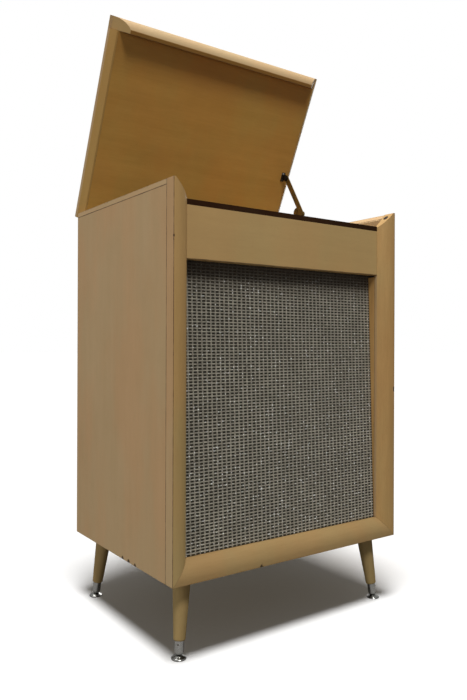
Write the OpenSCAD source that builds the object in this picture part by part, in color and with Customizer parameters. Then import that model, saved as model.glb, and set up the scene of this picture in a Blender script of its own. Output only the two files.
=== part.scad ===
/* [Case] */
// Width over both sides
case_w = 590; // [570:1:620]
// Depth from the front moulding to the back
case_d = 444; // [436:1:460]
// Height of the sides
side_h = 745; // [735:1:760]
// Height of the case above the floor
leg_h = 147; // [140:1:155]
// Thickness of the side, lid and bottom boards
board_t = 19; // [18:0.5:20]
// Height of the solid wood lipping on top of each side
lipping_h = 10.8; // [8:0.2:12]
// Height of the bottom board above the lower edge of the sides
bottom_lift = 13; // [10:1:20]

/* [Front mouldings] */
// Face width of the upright mouldings
stile_w = 39; // [37:1:41]
// Face height of the bottom moulding
rail_h = 42; // [40:1:44]
// Face height of the lid moulding
lip_h = 37; // [36:0.5:38]
// Depth of the mouldings from front to back
mould_d = 26; // [25:1:28]
// Distance of the inner moulding edge behind the front plane
mould_recess = 19; // [17:1:20]
// Flat land along the outer edge of the mouldings
mould_land = 5; // [4:0.5:6]

/* [Fascia and grille] */
// Height of the fascia board with its dark top strip
fascia_h = 111.5; // [100:0.5:120]
// Height of the dark strip along the top of the fascia
strip_h = 10.8; // [8:0.2:14]
// Distance of the fascia top below the side top
fascia_drop = 33.5; // [33:0.5:36]
// Backward lean of the grille, in degrees
grille_lean = 1.94; // [1.5:0.01:2]
// Thickness of the grille cloth
cloth_t = 1.6; // [1:0.1:2]
// Thickness of the loudspeaker baffle
baffle_t = 12; // [10:1:15]

/* [Lid] */
// Angle of the open lid from closed, in degrees
lid_open = 64.5; // [0:0.5:64.5]
// Height of the square land above the bevelled lid ends
lid_land = 5; // [4:0.5:6]
// Height of the lid hinge leaves along the case
hinge_len = 64; // [50:1:76]
// Distance between the hinge centres
hinge_span = 340; // [280:10:400]

/* [Lid stay] */
// Distance from the hinge axis to the stay pivot on the lid
stay_reach = 183; // [175:1:190]
// Length of the upper stay arm between its pivots
stay_upper_len = 125; // [120:1:130]
// Lean of the upper stay arm from vertical, in degrees
stay_lean = 30.6; // [28:0.1:32]

/* [Legs] */
// Distance of the foot centre from the case edges
foot_inset = 33; // [28:1:40]
// Distance of the leg axis from the case edges at the case bottom
leg_inset = 48.5; // [44:0.5:52]
// Diameter of the leg at its top
leg_top_d = 35.5; // [32:0.5:38]
// Diameter of the leg just above its ferrule
leg_end_d = 23; // [20:0.5:26]
// Diameter of the chromed ferrule
ferrule_d = 18; // [16:0.5:19]
// Diameter of the glide disc
glide_d = 29; // [26:0.5:32]

/* [Record player] */
// Height of the motor board top above the floor
deck_z = 740; // [736:1:744]
// Thickness of the motor board
deck_t = 12; // [10:1:15]
// Diameter of the platter
platter_d = 254; // [240:1:260]
// Diameter of the centre spindle
spindle_d = 7.1; // [7:0.05:7.2]
// Length of the tone arm from its pivot to the stylus
arm_reach = 199; // [194:1:203]

/* [Loudspeaker] */
// Diameter of the loudspeaker flange
speaker_d = 304; // [290:1:310]
// Diameter of the hole in the baffle
baffle_hole_d = 264; // [250:1:266]

/* [Hidden] */
$fn = 96;
fine_fn = 240;
eps = 0.01;

// Heights and planes of the case, in case coordinates:
// X from the middle, Y from the front plane, Z from the floor.
half_w = case_w / 2;
case_z = leg_h;
side_top = leg_h + side_h;
inner_x = half_w - board_t;
lid_top = side_top + lid_land;
lid_under = lid_top - board_t;
bevel = board_t - lid_land;
bottom_z = case_z + bottom_lift;
floor_z = bottom_z + board_t;
rail_top = case_z + rail_h;
fascia_top = side_top - fascia_drop;
fascia_bottom = fascia_top - fascia_h;
opening_x = half_w - stile_w;
deck_under = deck_z - deck_t;
back_t = 4;
back_lap = 2;
back_drop = 28;
hinge_rail_h = 40;
back_low = floor_z - board_t / 2 - back_lap;
back_high = lid_under - back_drop;
hinge_rail_low = lid_under - hinge_rail_h;

// Grille and baffle, hung from one leaning plane.
cloth_gap = 0.8;
baffle_lift = 2;
baffle_hidden = 28;
jamb_gap = 4;
deck_gap = 2.4;
cloth_y = mould_d + cloth_gap;
baffle_low = floor_z + baffle_lift;
baffle_high = fascia_bottom + baffle_hidden;
jamb_high = fascia_bottom - jamb_gap;
fascia_t = board_t;
speaker_z = (fascia_bottom - rail_top) / 2;
deck_front = grille_y(deck_z) + cloth_t + baffle_t + deck_gap;

// Gaps that let the closed lid rest without rubbing, and those of what turns.
bevel_gap = 0.7;
mitre_gap = 1.4;
seat_gap = 0.5;
seam_w = 0.8;
turning_gap = 0.4;
bearing_play = 0.06;

// Lid hinge axis, behind the case at the height of the lid's underside.
hinge_back = 2;
hinge_y = case_d + hinge_back;
hinge_z = lid_under;
knuckle_r = 3;
lid_swing = board_t * sin(lid_open) + hinge_back * (1 - cos(lid_open));
front_y = -(case_d + max(lid_swing, hinge_back + knuckle_r)) / 2;

// Hinge leaves and knuckles.
hinge_pin_r = 1.5;
leaf_t = 1.6;
leaf_w = 20;
leaf_gap = 0.2;
knuckle_count = 5;
knuckle_gap = 0.4;
knuckle_pitch = hinge_len / knuckle_count;
leaf_back = 4;
pin_over = 1;

// Lid stay: a parallelogram of the lid, the case and two flat arms.
stay_in = 8;
stay_drop = 9;
stay_r = 7.5;
stay_t = 2;
arm_step = 3;
plate_step = 3.2;
stay_pin_r = 2.5;
stay_bore_r = 2.6;
elbow_bore_r = 2.9;
upper_x = inner_x - stay_in;
lower_x = upper_x + arm_step;
plate_x = lower_x + plate_step;
stay_vec = stay_upper_len * [-sin(stay_lean), -cos(stay_lean)];
lid_pivot = swing([-stay_reach, -stay_drop], lid_open) + [hinge_y, hinge_z];
elbow = lid_pivot + stay_vec;
case_pivot = [hinge_y, hinge_z] + stay_vec;
lobe_at = elbow + [23, 8];
lobe_r = 13;

// Legs on steel plates below the bottom board.
leg_plate_t = 3.5;
leg_top_z = bottom_z - leg_plate_t;
splay_run = leg_inset - foot_inset;

// Record changer on the motor board.
changer = [-85, 250];
changer_size = [350, 310];
changer_h = 11;
platter_at = [-98, 240];
platter_low = deck_z + 16;
platter_h = 14;
rim_in_r = 118;
idler_r = 24;
pulley_r = 2.28;
drive_gap = 0.3;
idler_angle = -28;
idler_at = platter_at + (rim_in_r - idler_r - drive_gap) * dir(idler_angle);
pulley_at = idler_at + (idler_r + pulley_r + drive_gap) * dir(idler_angle - 105);
pivot_run = arm_reach - 13;
arm_pivot = platter_at + pivot_run * dir(38);
arm_z = platter_low + platter_h + 20;
record_post = [-232, 372];
record_park = 46;
lever_at = [62, 118];
cutout = [300, 262];

// Controls on the motor board, right of the changer.
control_size = [92, 210];
control_at = [192, 250];
volume_at = [192, 200];
tone_at = [192, 300];
knob_r = 16;
knob_h = 17;
shaft_r = 3;
bush_r = 5;

function dir(a) = [cos(a), sin(a)];
// A point (y, z) about the hinge axis, turned from closed to open by angle a.
function swing(p, a) = [p[0] * cos(a) + p[1] * sin(a), p[1] * cos(a) - p[0] * sin(a)];
// Depth of the grille plane at height z.
function grille_y(z) = cloth_y + (z - rail_top) * tan(grille_lean);

// Case coordinates to the part's own frame.
module place() {
    translate([0, front_y, 0]) children();
}

// Pieces that ride on the lid, drawn closed.
module on_lid() {
    place() translate([0, hinge_y, hinge_z]) rotate([-lid_open, 0, 0])
        translate([0, -hinge_y, -hinge_z]) children();
}

// Pieces on the leaning grille plane: X right, Y inwards, Z up along the plane.
module on_grille() {
    place() translate([0, cloth_y, rail_top]) rotate([-grille_lean, 0, 0]) children();
}

module pair() {
    children();
    mirror([1, 0, 0]) children();
}

module box(low, high) {
    translate(low) cube(high - low);
}

// Prism of an outline in X and Z, between two depths.
module front_prism(y0, y1) {
    translate([0, y1, 0]) rotate([90, 0, 0]) linear_extrude(y1 - y0) children();
}

// Prism of an outline in Y and Z, between two widths.
module side_prism(x0, x1) {
    translate([x0, 0, 0]) rotate([90, 0, 90]) linear_extrude(x1 - x0) children();
}

module x_rod(at, r, x0, x1) {
    translate([x0, at[0], at[1]]) rotate([0, 90, 0]) cylinder(r = r, h = x1 - x0);
}

bar_inset = 0.15;

// Outline of a flat bar with round ends between two (y, z) points; its sides stand a touch inside its ends.
module bar_outline(a, b, r) {
    half = r - bar_inset;
    translate(a) circle(r);
    translate(b) circle(r);
    translate(a) rotate(atan2(b[1] - a[1], b[0] - a[0]))
        translate([0, -half]) square([norm(b - a), 2 * half]);
}

module z_rod(at, r, z0, z1) {
    translate([at[0], at[1], z0]) cylinder(r = r, h = z1 - z0);
}

module rounded_box(size, r, h) {
    linear_extrude(h) union() {
        square([size[0] - 2 * r, size[1]], center = true);
        square([size[0], size[1] - 2 * r], center = true);
        for (x = [-1, 1], y = [-1, 1])
            translate([x * (size[0] / 2 - r), y * (size[1] / 2 - r)]) circle(r);
    }
}

// Moulding section: width from the outer edge, depth from the front plane.
module moulding_section(width) {
    run = width - mould_land;
    r = (run * run + mould_recess * mould_recess) / (2 * mould_recess);
    square([mould_land, mould_d]);
    intersection() {
        translate([mould_land - eps, 0]) square([run + eps, mould_d]);
        translate([mould_land, r]) circle(r, $fn = fine_fn);
    }
}

// Outline of a side with its bevelled top, from the outer face inwards.
module side_outline(z0, z1) {
    intersection() {
        polygon([
            [half_w, case_z], [half_w, side_top - bevel_gap],
            [half_w - bevel, lid_under - bevel_gap], [inner_x, lid_under - bevel_gap],
            [inner_x, case_z]
        ]);
        translate([inner_x, z0]) square([board_t, z1 - z0]);
    }
}

module side_panel() {
    color("#a08763") place() difference() {
        front_prism(mould_d, case_d) side_outline(case_z, side_top - lipping_h);
        translate([half_w, mould_d, case_z - 1]) rotate([0, 0, 45])
            cube([seam_w, seam_w, 3 * side_h], center = true);
        translate([half_w, 0, side_top - lipping_h]) rotate([0, 45, 0])
            cube([seam_w, 3 * case_d, seam_w], center = true);
    }
}

module left_side_panel() {
    mirror([1, 0, 0]) side_panel();
}

module right_side_panel() {
    side_panel();
}

module side_lippings() {
    color("#ad9069") pair() place()
        front_prism(mould_d, case_d) side_outline(side_top - lipping_h, side_top);
}

// Upright moulding, mitred to the bottom rail and to the closed lid.
module stile() {
    mitre_z = lid_top - mitre_gap;
    rim_z = side_top - bevel_gap;
    color("#a58a63") place() intersection() {
        translate([half_w, 0, case_z]) mirror([1, 0, 0])
            linear_extrude(side_h) moulding_section(stile_w);
        front_prism(-1, mould_d + 1) polygon([
            [half_w, case_z], [opening_x, rail_top], [opening_x, mitre_z - stile_w],
            [half_w - mitre_z + rim_z, rim_z], [half_w, rim_z]
        ]);
    }
}

module left_stile() {
    mirror([1, 0, 0]) stile();
}

module right_stile() {
    stile();
}

module bottom_rail() {
    color("#a78a5c") place() intersection() {
        translate([0, 0, case_z]) rotate([0, -90, 0])
            linear_extrude(case_w, center = true) moulding_section(rail_h);
        front_prism(-1, mould_d + 1) polygon([
            [-half_w, case_z], [half_w, case_z], [opening_x, rail_top], [-opening_x, rail_top]
        ]);
    }
}

module fascia_board() {
    color("#9a8058") place() box(
        [-opening_x, mould_recess, fascia_bottom],
        [opening_x, mould_recess + fascia_t, fascia_top - strip_h]);
}

module fascia_top_strip() {
    color("#2a1a10") place() box(
        [-opening_x, mould_recess, fascia_top - strip_h],
        [opening_x, mould_recess + fascia_t, fascia_top]);
}

// Wedge strips that close the gap between the stiles and the leaning baffle.
module grille_jambs() {
    color("#8a6b45") pair() place() side_prism(opening_x, inner_x) polygon([
        [mould_d, baffle_low], [grille_y(baffle_low), baffle_low],
        [grille_y(jamb_high), jamb_high], [mould_d, jamb_high]
    ]);
}

module grille_sheet(y0, y1) {
    box([-inner_x, y0, baffle_low - rail_top], [inner_x, y1, baffle_high - rail_top]);
}

module on_speaker() {
    on_grille() translate([0, cloth_t + baffle_t, speaker_z]) rotate([-90, 0, 0]) children();
}

module baffle_board() {
    color("#6b5136") difference() {
        on_grille() grille_sheet(cloth_t, cloth_t + baffle_t);
        on_speaker() translate([0, 0, -2 * baffle_t]) cylinder(d = baffle_hole_d, h = 3 * baffle_t);
    }
}

module grille_cloth() {
    color("#77715f") on_grille() grille_sheet(0, cloth_t);
}

module bottom_panel() {
    stud_play = 0.1;
    color("#8f7350") difference() {
        place() box([-inner_x, mould_d, bottom_z], [inner_x, case_d - back_t, floor_z]);
        each_leg() at_foot($sx, $sy)
            translate([0, 0, stud_low]) cylinder(r = stud_r + stud_play, h = stud_len + 1);
    }
}

// Openings and screws of the back.
vent_rows = 7;
vent_cols = 4;
vent_pitch = [104, 22];
vent_fields = [back_low + 120, back_low + 420];
vent_len = 60;
vent_r = 3;
inlet_at = [190, floor_z + 55];
inlet_r = 7;
back_screw_x = [-264, -132, 0, 132, 264];
back_screw_z = [back_low + 6, deck_z - 6, back_high - 6];

// Slot with round ends, cut through the back.
module vent_slot(at) {
    cut = 2 * back_t;
    translate([at[0], case_d + 1, at[1]]) rotate([90, 0, 0]) union() {
        for (x = [-vent_len / 2, vent_len / 2]) translate([x, 0, 0]) cylinder(r = vent_r, h = cut);
        translate([-vent_len / 2, -vent_r, 0]) cube([vent_len, 2 * vent_r, cut]);
    }
}

module back_panel() {
    color("#5d4630") place() difference() {
        box([-inner_x, case_d - back_t, back_low], [inner_x, case_d, back_high]);
        for (col = [0 : vent_cols - 1], row = [0 : vent_rows - 1], field = vent_fields)
            vent_slot([(col - (vent_cols - 1) / 2) * vent_pitch[0], field + row * vent_pitch[1]]);
        translate([inlet_at[0], case_d + 1, inlet_at[1]]) rotate([90, 0, 0])
            cylinder(r = inlet_r, h = 2 * back_t);
    }
}

// Round-head screws along the top and bottom edge of the back.
module back_screws() {
    head_r = 4;
    head_h = 2.4;
    dome_r = 4.4;
    dome_drop = 1.6;
    slot_w = 1;
    slot_low = 1.4;
    color("#b9b4a8") place() for (x = back_screw_x, z = back_screw_z)
        translate([x, case_d, z]) rotate([-90, 0, 0]) difference() {
            intersection() {
                cylinder(r = head_r, h = head_h);
                translate([0, 0, -dome_drop]) sphere(r = dome_r);
            }
            translate([-head_r, -slot_w / 2, slot_low]) cube([2 * head_r, slot_w, head_h]);
        }
}

module hinge_relief() {
    relief = 0.5;
    for (s = [-1, 1])
        translate([s * hinge_span / 2 - hinge_len / 2 - pin_over, hinge_y, hinge_z]) rotate([0, 90, 0])
            cylinder(r = knuckle_r + relief, h = hinge_len + 2 * pin_over);
}

// Shallow bed for a hinge leaf, above (side 1) or below (side -1) the joint.
module leaf_bed(side, depth) {
    for (s = [-1, 1])
        translate([
            s * hinge_span / 2 - hinge_len / 2, hinge_y - leaf_w - leaf_back,
            side > 0 ? hinge_z - eps : hinge_z - depth
        ]) cube([hinge_len, leaf_w + leaf_back, depth + eps]);
}

module hinge_rail() {
    color("#8f7350") place() difference() {
        box([-inner_x, case_d - board_t, hinge_rail_low], [inner_x, case_d, lid_under - seat_gap]);
        box([-half_w, case_d - back_t, hinge_rail_low - 1], [half_w, case_d + 1, back_high]);
        hinge_relief();
        leaf_bed(-1, leaf_t + leaf_gap);
    }
}

module motor_board() {
    corner = 12;
    color("#5a3f26") place() difference() {
        box([-inner_x, deck_front, deck_under], [inner_x, case_d - back_t, deck_z]);
        translate([changer[0], changer[1], deck_under - 1]) rounded_box(cutout, corner, deck_t + 2);
        for (at = [volume_at, tone_at]) z_rod(at, bush_r, deck_under - 1, deck_z + 1);
    }
}

// Softwood cleats and glue blocks inside the case.
module case_cleats() {
    cleat = 20;
    floor_cleat = [90, 380];
    block_lift = 32;
    block_drop = 12;
    behind = mould_recess + fascia_t;
    color("#b08a58") place() {
        pair() box([inner_x - cleat, deck_front, deck_under - cleat],
            [inner_x, case_d - cleat - back_t, deck_under]);
        pair() box([inner_x - cleat, case_d - back_t - cleat, floor_z],
            [inner_x, case_d - back_t, deck_under]);
        pair() box([inner_x - cleat, floor_cleat[0], floor_z], [inner_x, floor_cleat[1], floor_z + cleat]);
        box([-inner_x + cleat, deck_front, deck_under - cleat],
            [inner_x - cleat, deck_front + cleat, deck_under]);
        pair() box([opening_x - 2 * cleat, behind, fascia_bottom + block_lift],
            [inner_x, behind + cleat, fascia_top - strip_h - block_drop]);
    }
}

// Closed lid outline in X and Z between two half widths.
module lid_outline() {
    polygon([
        [-half_w, lid_top], [half_w, lid_top], [half_w, side_top],
        [half_w - bevel, lid_under], [-half_w + bevel, lid_under], [-half_w, side_top]
    ]);
}

// Width of the solid lippings at the lid ends.
lid_end_w = bevel + 4;

module lid_panel() {
    color("#8b6230") difference() {
        on_lid() box([-half_w + lid_end_w, mould_d, lid_under],
            [half_w - lid_end_w, case_d, lid_top]);
        on_lid() hinge_relief();
        on_lid() leaf_bed(1, leaf_t + leaf_gap);
    }
}

module lid_end_lippings() {
    color("#8f7347") pair() on_lid() intersection() {
        front_prism(mould_d, case_d) lid_outline();
        box([half_w - lid_end_w, 0, lid_under - 1], [half_w + 1, case_d + 1, lid_top + 1]);
    }
}

// Front moulding of the lid, mitred to the stiles.
module lid_moulding() {
    color("#d9bd90") on_lid() intersection() {
        translate([0, 0, lid_top]) mirror([0, 0, 1]) rotate([0, -90, 0])
            linear_extrude(case_w, center = true) moulding_section(lip_h);
        front_prism(-1, mould_d + 1) polygon([
            [-half_w, lid_top + 1], [half_w, lid_top + 1], [half_w, side_top],
            [half_w - lid_land, side_top], [half_w - lip_h - 1, lid_top - lip_h - 1],
            [-half_w + lip_h + 1, lid_top - lip_h - 1], [-half_w + lid_land, side_top],
            [-half_w, side_top]
        ]);
    }
}

// Felt bumpers on the mitred tops of the stiles.
module lid_bumpers() {
    bumper_r = 5.8;
    bumper_t = 0.6;
    bumper_in = 15;
    color("#1b1512") pair() place()
        translate([half_w - bumper_in, mould_d / 2 + 1, lid_top - mitre_gap - bumper_in])
            rotate([0, -45, 0]) cylinder(r = bumper_r, h = bumper_t);
}

// One hinge leaf with every second knuckle; side 1 is above the joint.
module hinge_leaf(side, first) {
    z0 = side > 0 ? leaf_gap : -leaf_gap - leaf_t;
    pin_play = side > 0 ? bearing_play : 0;
    screw_r = 2;
    screw_back = leaf_w / 2 + 5;
    difference() {
        union() {
            translate([-hinge_len / 2, -leaf_w - leaf_back, z0]) cube([hinge_len, leaf_w, leaf_t]);
            for (k = [first : 2 : knuckle_count - 1])
                translate([-hinge_len / 2 + k * knuckle_pitch + knuckle_gap / 2, 0, 0]) union() {
                    translate([0, -leaf_w / 2, z0]) cube([knuckle_pitch - knuckle_gap, leaf_w / 2, leaf_t]);
                    rotate([0, 90, 0]) cylinder(r = knuckle_r, h = knuckle_pitch - knuckle_gap);
                }
        }
        translate([-hinge_len, 0, 0]) rotate([0, 90, 0])
            cylinder(r = hinge_pin_r + pin_play, h = 2 * hinge_len);
        for (k = [-1, 0, 1])
            translate([k * hinge_len / 3, -screw_back, z0 - 1]) cylinder(r = screw_r, h = leaf_t + 2);
    }
}

module hinge_set(side, first) {
    for (s = [-1, 1]) translate([s * hinge_span / 2, hinge_y, hinge_z]) hinge_leaf(side, first);
}

module hinge_case_leaves() {
    color("#b08d4f") place() hinge_set(-1, 0);
}

module hinge_lid_leaves() {
    color("#b08d4f") on_lid() hinge_set(1, 1);
}

module hinge_pins() {
    color("#9c8a66") place() for (s = [-1, 1])
        translate([s * hinge_span / 2 - hinge_len / 2 - pin_over, hinge_y, hinge_z]) rotate([0, 90, 0])
            cylinder(r = hinge_pin_r, h = hinge_len + 2 * pin_over);
}

// Rivet along X with a head on one or both ends.
rivet_head_r = 4.2;
rivet_head_t = 1.3;
rivet_over = rivet_head_t + 0.3;

module rivet(at, x0, x1, head_low, head_high) {
    x_rod(at, stay_pin_r, x0, x1);
    if (head_low) x_rod(at, rivet_head_r, x0, x0 + rivet_head_t);
    if (head_high) x_rod(at, rivet_head_r, x1 - rivet_head_t, x1);
}

// Angle bracket under the lid that carries the upper arm.
module stay_lid_bracket() {
    at = [hinge_y - stay_reach, lid_under - stay_drop];
    flange_w = 11;
    flange_half = 12;
    flange_t = 1.8;
    tab_r = 7.5;
    tab_far = upper_x - 3;
    tab_near = upper_x - 1;
    color("#3f3934") on_lid() union() {
        box([upper_x - flange_w, at[0] - flange_half, lid_under - flange_t],
            [tab_near, at[0] + flange_half, lid_under]);
        box([tab_far, at[0] - tab_r, at[1]], [tab_near, at[0] + tab_r, lid_under]);
        x_rod(at, tab_r, tab_far, tab_near);
        rivet(at, tab_far - rivet_over, upper_x + stay_t + rivet_over, true, true);
    }
}

module stay_upper_arm() {
    color("#8f6f3c") place() difference() {
        side_prism(upper_x, upper_x + stay_t) bar_outline(elbow, lid_pivot, stay_r);
        x_rod(lid_pivot, stay_bore_r, upper_x - 1, lower_x);
        x_rod(elbow, elbow_bore_r, upper_x - 1, lower_x);
    }
}

// Lower arm with its stop lug and the elbow rivet.
module stay_lower_arm() {
    neck_r = 8;
    color("#8a6a3a") place() {
        difference() {
            side_prism(lower_x, lower_x + stay_t) union() {
                bar_outline(elbow, case_pivot, stay_r);
                translate((elbow + lobe_at) / 2) circle(neck_r);
                translate(lobe_at) circle(lobe_r);
            }
            x_rod(case_pivot, stay_bore_r, lower_x - 1, plate_x);
        }
        rivet(elbow, upper_x - rivet_over, lower_x + stay_t / 2, true, false);
    }
}

module stay_wall_plate() {
    down = 16;
    up = 20;
    plate_r = 8;
    boss_r = 5.5;
    boss_gap = 0.4;
    screw_r = 3.2;
    screw_t = 0.8;
    screw_in = 1;
    color("#6d5a3a") place() union() {
        side_prism(plate_x, inner_x) bar_outline(case_pivot - [0, down], case_pivot + [0, up], plate_r);
        x_rod(case_pivot, boss_r, lower_x + stay_t + boss_gap, plate_x + eps);
        rivet(case_pivot, lower_x - rivet_over, plate_x, true, false);
        for (z = [screw_in - down, up - screw_in])
            x_rod(case_pivot + [0, z], screw_r, plate_x - screw_t, plate_x + eps);
    }
}

// Splayed axis of a leg; sx is -1 left, 1 right and sy is 1 front, -1 rear.
tilt = atan(sqrt(2) * splay_run / leg_h);
axis_top = leg_h / cos(tilt);

function leg_at(sx, sy, z) = [
    sx * (half_w - foot_inset - splay_run * z / leg_h),
    sy > 0 ? foot_inset + splay_run * z / leg_h : case_d - foot_inset - splay_run * z / leg_h
];

module at_foot(sx, sy) {
    place() translate([leg_at(sx, sy, 0)[0], leg_at(sx, sy, 0)[1], 0])
        rotate([0, tilt, atan2(sy, -sx)]) children();
}

// Heights and radii along a leg's axis, from the floor up.
ball_r = 3.6;
ball_z = 5.2;
socket_r = 3.95;
stem_r = 1.8;
stem_top = 24;
stem_gap = 0.5;
tenon_r = 7.6;
tenon_low = 12;
ferrule_low = 9.5;
wood_low = 33;
shoulder_h = 2;
shoulder_in = 1.6;
stud_r = 4;
stud_low = 132;
stud_len = 42;

module leg(sx, sy) {
    taper_low = wood_low + shoulder_h;
    slope = (leg_top_d - leg_end_d) / 2 / (axis_top - taper_low);
    over = 16;
    color("#a58a5e") difference() {
        at_foot(sx, sy) union() {
            translate([0, 0, tenon_low]) cylinder(r = tenon_r, h = wood_low - tenon_low + 1);
            translate([0, 0, wood_low])
                cylinder(r1 = leg_end_d / 2 - shoulder_in, r2 = leg_end_d / 2, h = shoulder_h);
            translate([0, 0, taper_low]) cylinder(
                r1 = leg_end_d / 2, r2 = leg_top_d / 2 + over * slope,
                h = axis_top - taper_low + over);
        }
        at_foot(sx, sy) translate([0, 0, tenon_low - 1])
            cylinder(r = stem_r, h = stem_top - tenon_low + stem_gap + 1);
        at_foot(sx, sy) translate([0, 0, stud_low]) cylinder(r = stud_r, h = 2 * stud_len);
        translate([-case_w, -case_w, leg_top_z]) cube([2 * case_w, 2 * case_w, leg_h]);
    }
}

module leg_front_left() {
    leg(-1, 1);
}

module leg_front_right() {
    leg(1, 1);
}

module leg_rear_left() {
    leg(-1, -1);
}

module leg_rear_right() {
    leg(1, -1);
}

module each_leg() {
    for (sx = [-1, 1], sy = [-1, 1]) {
        $sx = sx;
        $sy = sy;
        children();
    }
}

// Steel plates under the bottom board with the studs the legs screw on.
module leg_plates() {
    plate_size = 44;
    screw_at = plate_size / 2 - 5;
    screw_r = 3.2;
    screw_t = 1;
    color("#8d8a82") each_leg() union() {
        at = leg_at($sx, $sy, leg_top_z);
        place() translate([at[0], at[1], (leg_top_z + bottom_z) / 2])
            cube([plate_size, plate_size, bottom_z - leg_top_z], center = true);
        place() for (x = [-1, 1], y = [-1, 1])
            z_rod(at + screw_at * [x, y], screw_r, leg_top_z - screw_t, leg_top_z + eps);
        at_foot($sx, $sy) translate([0, 0, stud_low]) cylinder(r = stud_r, h = stud_len);
    }
}

// Chromed ferrules, each with the ball stem its glide turns on.
module leg_ferrules() {
    toe_h = 3;
    toe_in = 0.8;
    ball_at = ball_z / cos(tilt);
    color("#c9c8c4") each_leg() at_foot($sx, $sy) union() {
        difference() {
            translate([0, 0, ferrule_low]) union() {
                cylinder(r1 = ferrule_d / 2 - toe_in, r2 = ferrule_d / 2, h = toe_h);
                translate([0, 0, toe_h]) cylinder(d = ferrule_d, h = wood_low - ferrule_low - toe_h);
            }
            translate([0, 0, tenon_low]) cylinder(r = tenon_r, h = wood_low);
        }
        translate([0, 0, ball_at]) sphere(r = ball_r);
        translate([0, 0, ball_at]) cylinder(r = stem_r, h = stem_top - ball_z);
    }
}

// Dome of a glide: each point's distance in from the rim and its height.
glide_dome = [[1.2, 0], [0, 1], [0, 1.8], [1, 3], [4, 4.6], [7.5, 6.4], [9.5, 7.6], [10.5, 8]];
glide_h = 8;

// Domed glide that swivels on the ball of its stem.
module glide(sx, sy) {
    at = leg_at(sx, sy, ball_z);
    color("#d8d8d8") place() translate([at[0], at[1], 0]) difference() {
        rotate_extrude() polygon(concat(
            [[0, 0]], [for (p = glide_dome) [glide_d / 2 - p[0], p[1]]], [[0, glide_h]]));
        translate([0, 0, ball_z]) sphere(r = socket_r);
    }
}

module glide_front_left() {
    glide(-1, 1);
}

module glide_front_right() {
    glide(1, 1);
}

module glide_rear_left() {
    glide(-1, -1);
}

module glide_rear_right() {
    glide(1, -1);
}

// Loudspeaker radii and depths behind the baffle.
flange_t = 3;
frame_in_r = 130;
basket_h = 76;
basket_neck_r = 50;
cone_rim_r = 127;
surround_w = 2.5;
pocket_h = 6.5;
coil_r = 25;
coil_t = 1;
cone_h = 58;

module speaker_basket() {
    wall = 2;
    rim = 10;
    bolt_in = 8;
    bolt_r = 4;
    bolt_h = 6;
    windows = 6;
    window_in = 60;
    window_w = 48;
    window_low = 12;
    window_top = 14;
    coil_hole_r = coil_r + 4;
    color("#3c3f42") on_speaker() difference() {
        union() {
            cylinder(d = speaker_d, h = flange_t);
            cylinder(r1 = frame_in_r + rim, r2 = basket_neck_r, h = basket_h);
            for (a = [45 : 90 : 315]) rotate([0, 0, a]) translate([speaker_d / 2 - bolt_in, 0, 0])
                cylinder(r = bolt_r, h = bolt_h, $fn = 6);
        }
        translate([0, 0, -1]) cylinder(r = frame_in_r, h = 1 + pocket_h + eps);
        translate([0, 0, pocket_h])
            cylinder(r1 = frame_in_r, r2 = basket_neck_r - wall, h = basket_h - wall - pocket_h);
        translate([0, 0, basket_h - wall - 1]) cylinder(r = coil_hole_r, h = wall + 2);
        for (k = [0 : windows - 1]) rotate([0, 0, k * 360 / windows])
            translate([window_in, -window_w / 2, window_low])
                cube([frame_in_r, window_w, basket_h - window_low - window_top]);
    }
}

// Flat ring, from depth z0 along the speaker's axis.
module ring(r_out, r_in, z0, h) {
    translate([0, 0, z0]) difference() {
        cylinder(r = r_out, h = h);
        translate([0, 0, -1]) cylinder(r = r_in, h = h + 2);
    }
}

// Paper cone with its surround, voice coil, spider and dust cap.
module speaker_cone() {
    wall = 1.2;
    surround_in = 3;
    sheet_t = 1;
    coil_h = 24;
    spider_r = basket_neck_r - 8;
    spider_z = cone_h + 6;
    cap_z = cone_h - 6;
    cap_low = 4;
    cap_h = 2.2;
    cap_gap = 0.4;
    color("#26221e") on_speaker() union() {
        difference() {
            translate([0, 0, flange_t]) cylinder(r1 = cone_rim_r, r2 = coil_r, h = cone_h);
            translate([0, 0, flange_t - wall]) cylinder(r1 = cone_rim_r, r2 = coil_r, h = cone_h);
            translate([0, 0, flange_t - eps]) cylinder(r = coil_r - coil_t, h = 2 * cone_h);
        }
        ring(cone_rim_r + surround_w, cone_rim_r - surround_in, flange_t, sheet_t);
        ring(coil_r, coil_r - coil_t, cone_h, coil_h);
        ring(spider_r, coil_r - coil_t / 2, spider_z, sheet_t);
        translate([0, 0, cap_z]) intersection() {
            sphere(r = coil_r + 1);
            translate([0, 0, cap_low]) cylinder(r = coil_r - cap_gap, h = cap_h);
        }
    }
}

module speaker_magnet() {
    front_plate = [45, 6];
    slug = [52, 22];
    rear_plate = [47, 6];
    coil_gap = 1.2;
    pole_gap = 2;
    slug_low = front_plate[1];
    rear_low = slug_low + slug[1];
    color("#55585b") on_speaker() translate([0, 0, basket_h]) union() {
        difference() {
            union() {
                cylinder(r = front_plate[0], h = slug_low);
                translate([0, 0, slug_low]) cylinder(r = slug[0], h = slug[1]);
                translate([0, 0, rear_low]) cylinder(r = rear_plate[0], h = rear_plate[1]);
            }
            translate([0, 0, -1]) cylinder(r = coil_r + coil_gap, h = rear_low + 1);
        }
        cylinder(r = coil_r - pole_gap, h = rear_low + 2);
    }
}

// Amplifier on the bottom board; each transformer has its place and its size.
amp = [-10, 320];
amp_size = [250, 124, 48];
amp_top = floor_z + amp_size[2];
tube_x = [-102, -62, -22, 14];
transformers = [[[68, -14], [66, 54, 58]], [[68, 36], [46, 30, 40]]];

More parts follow.
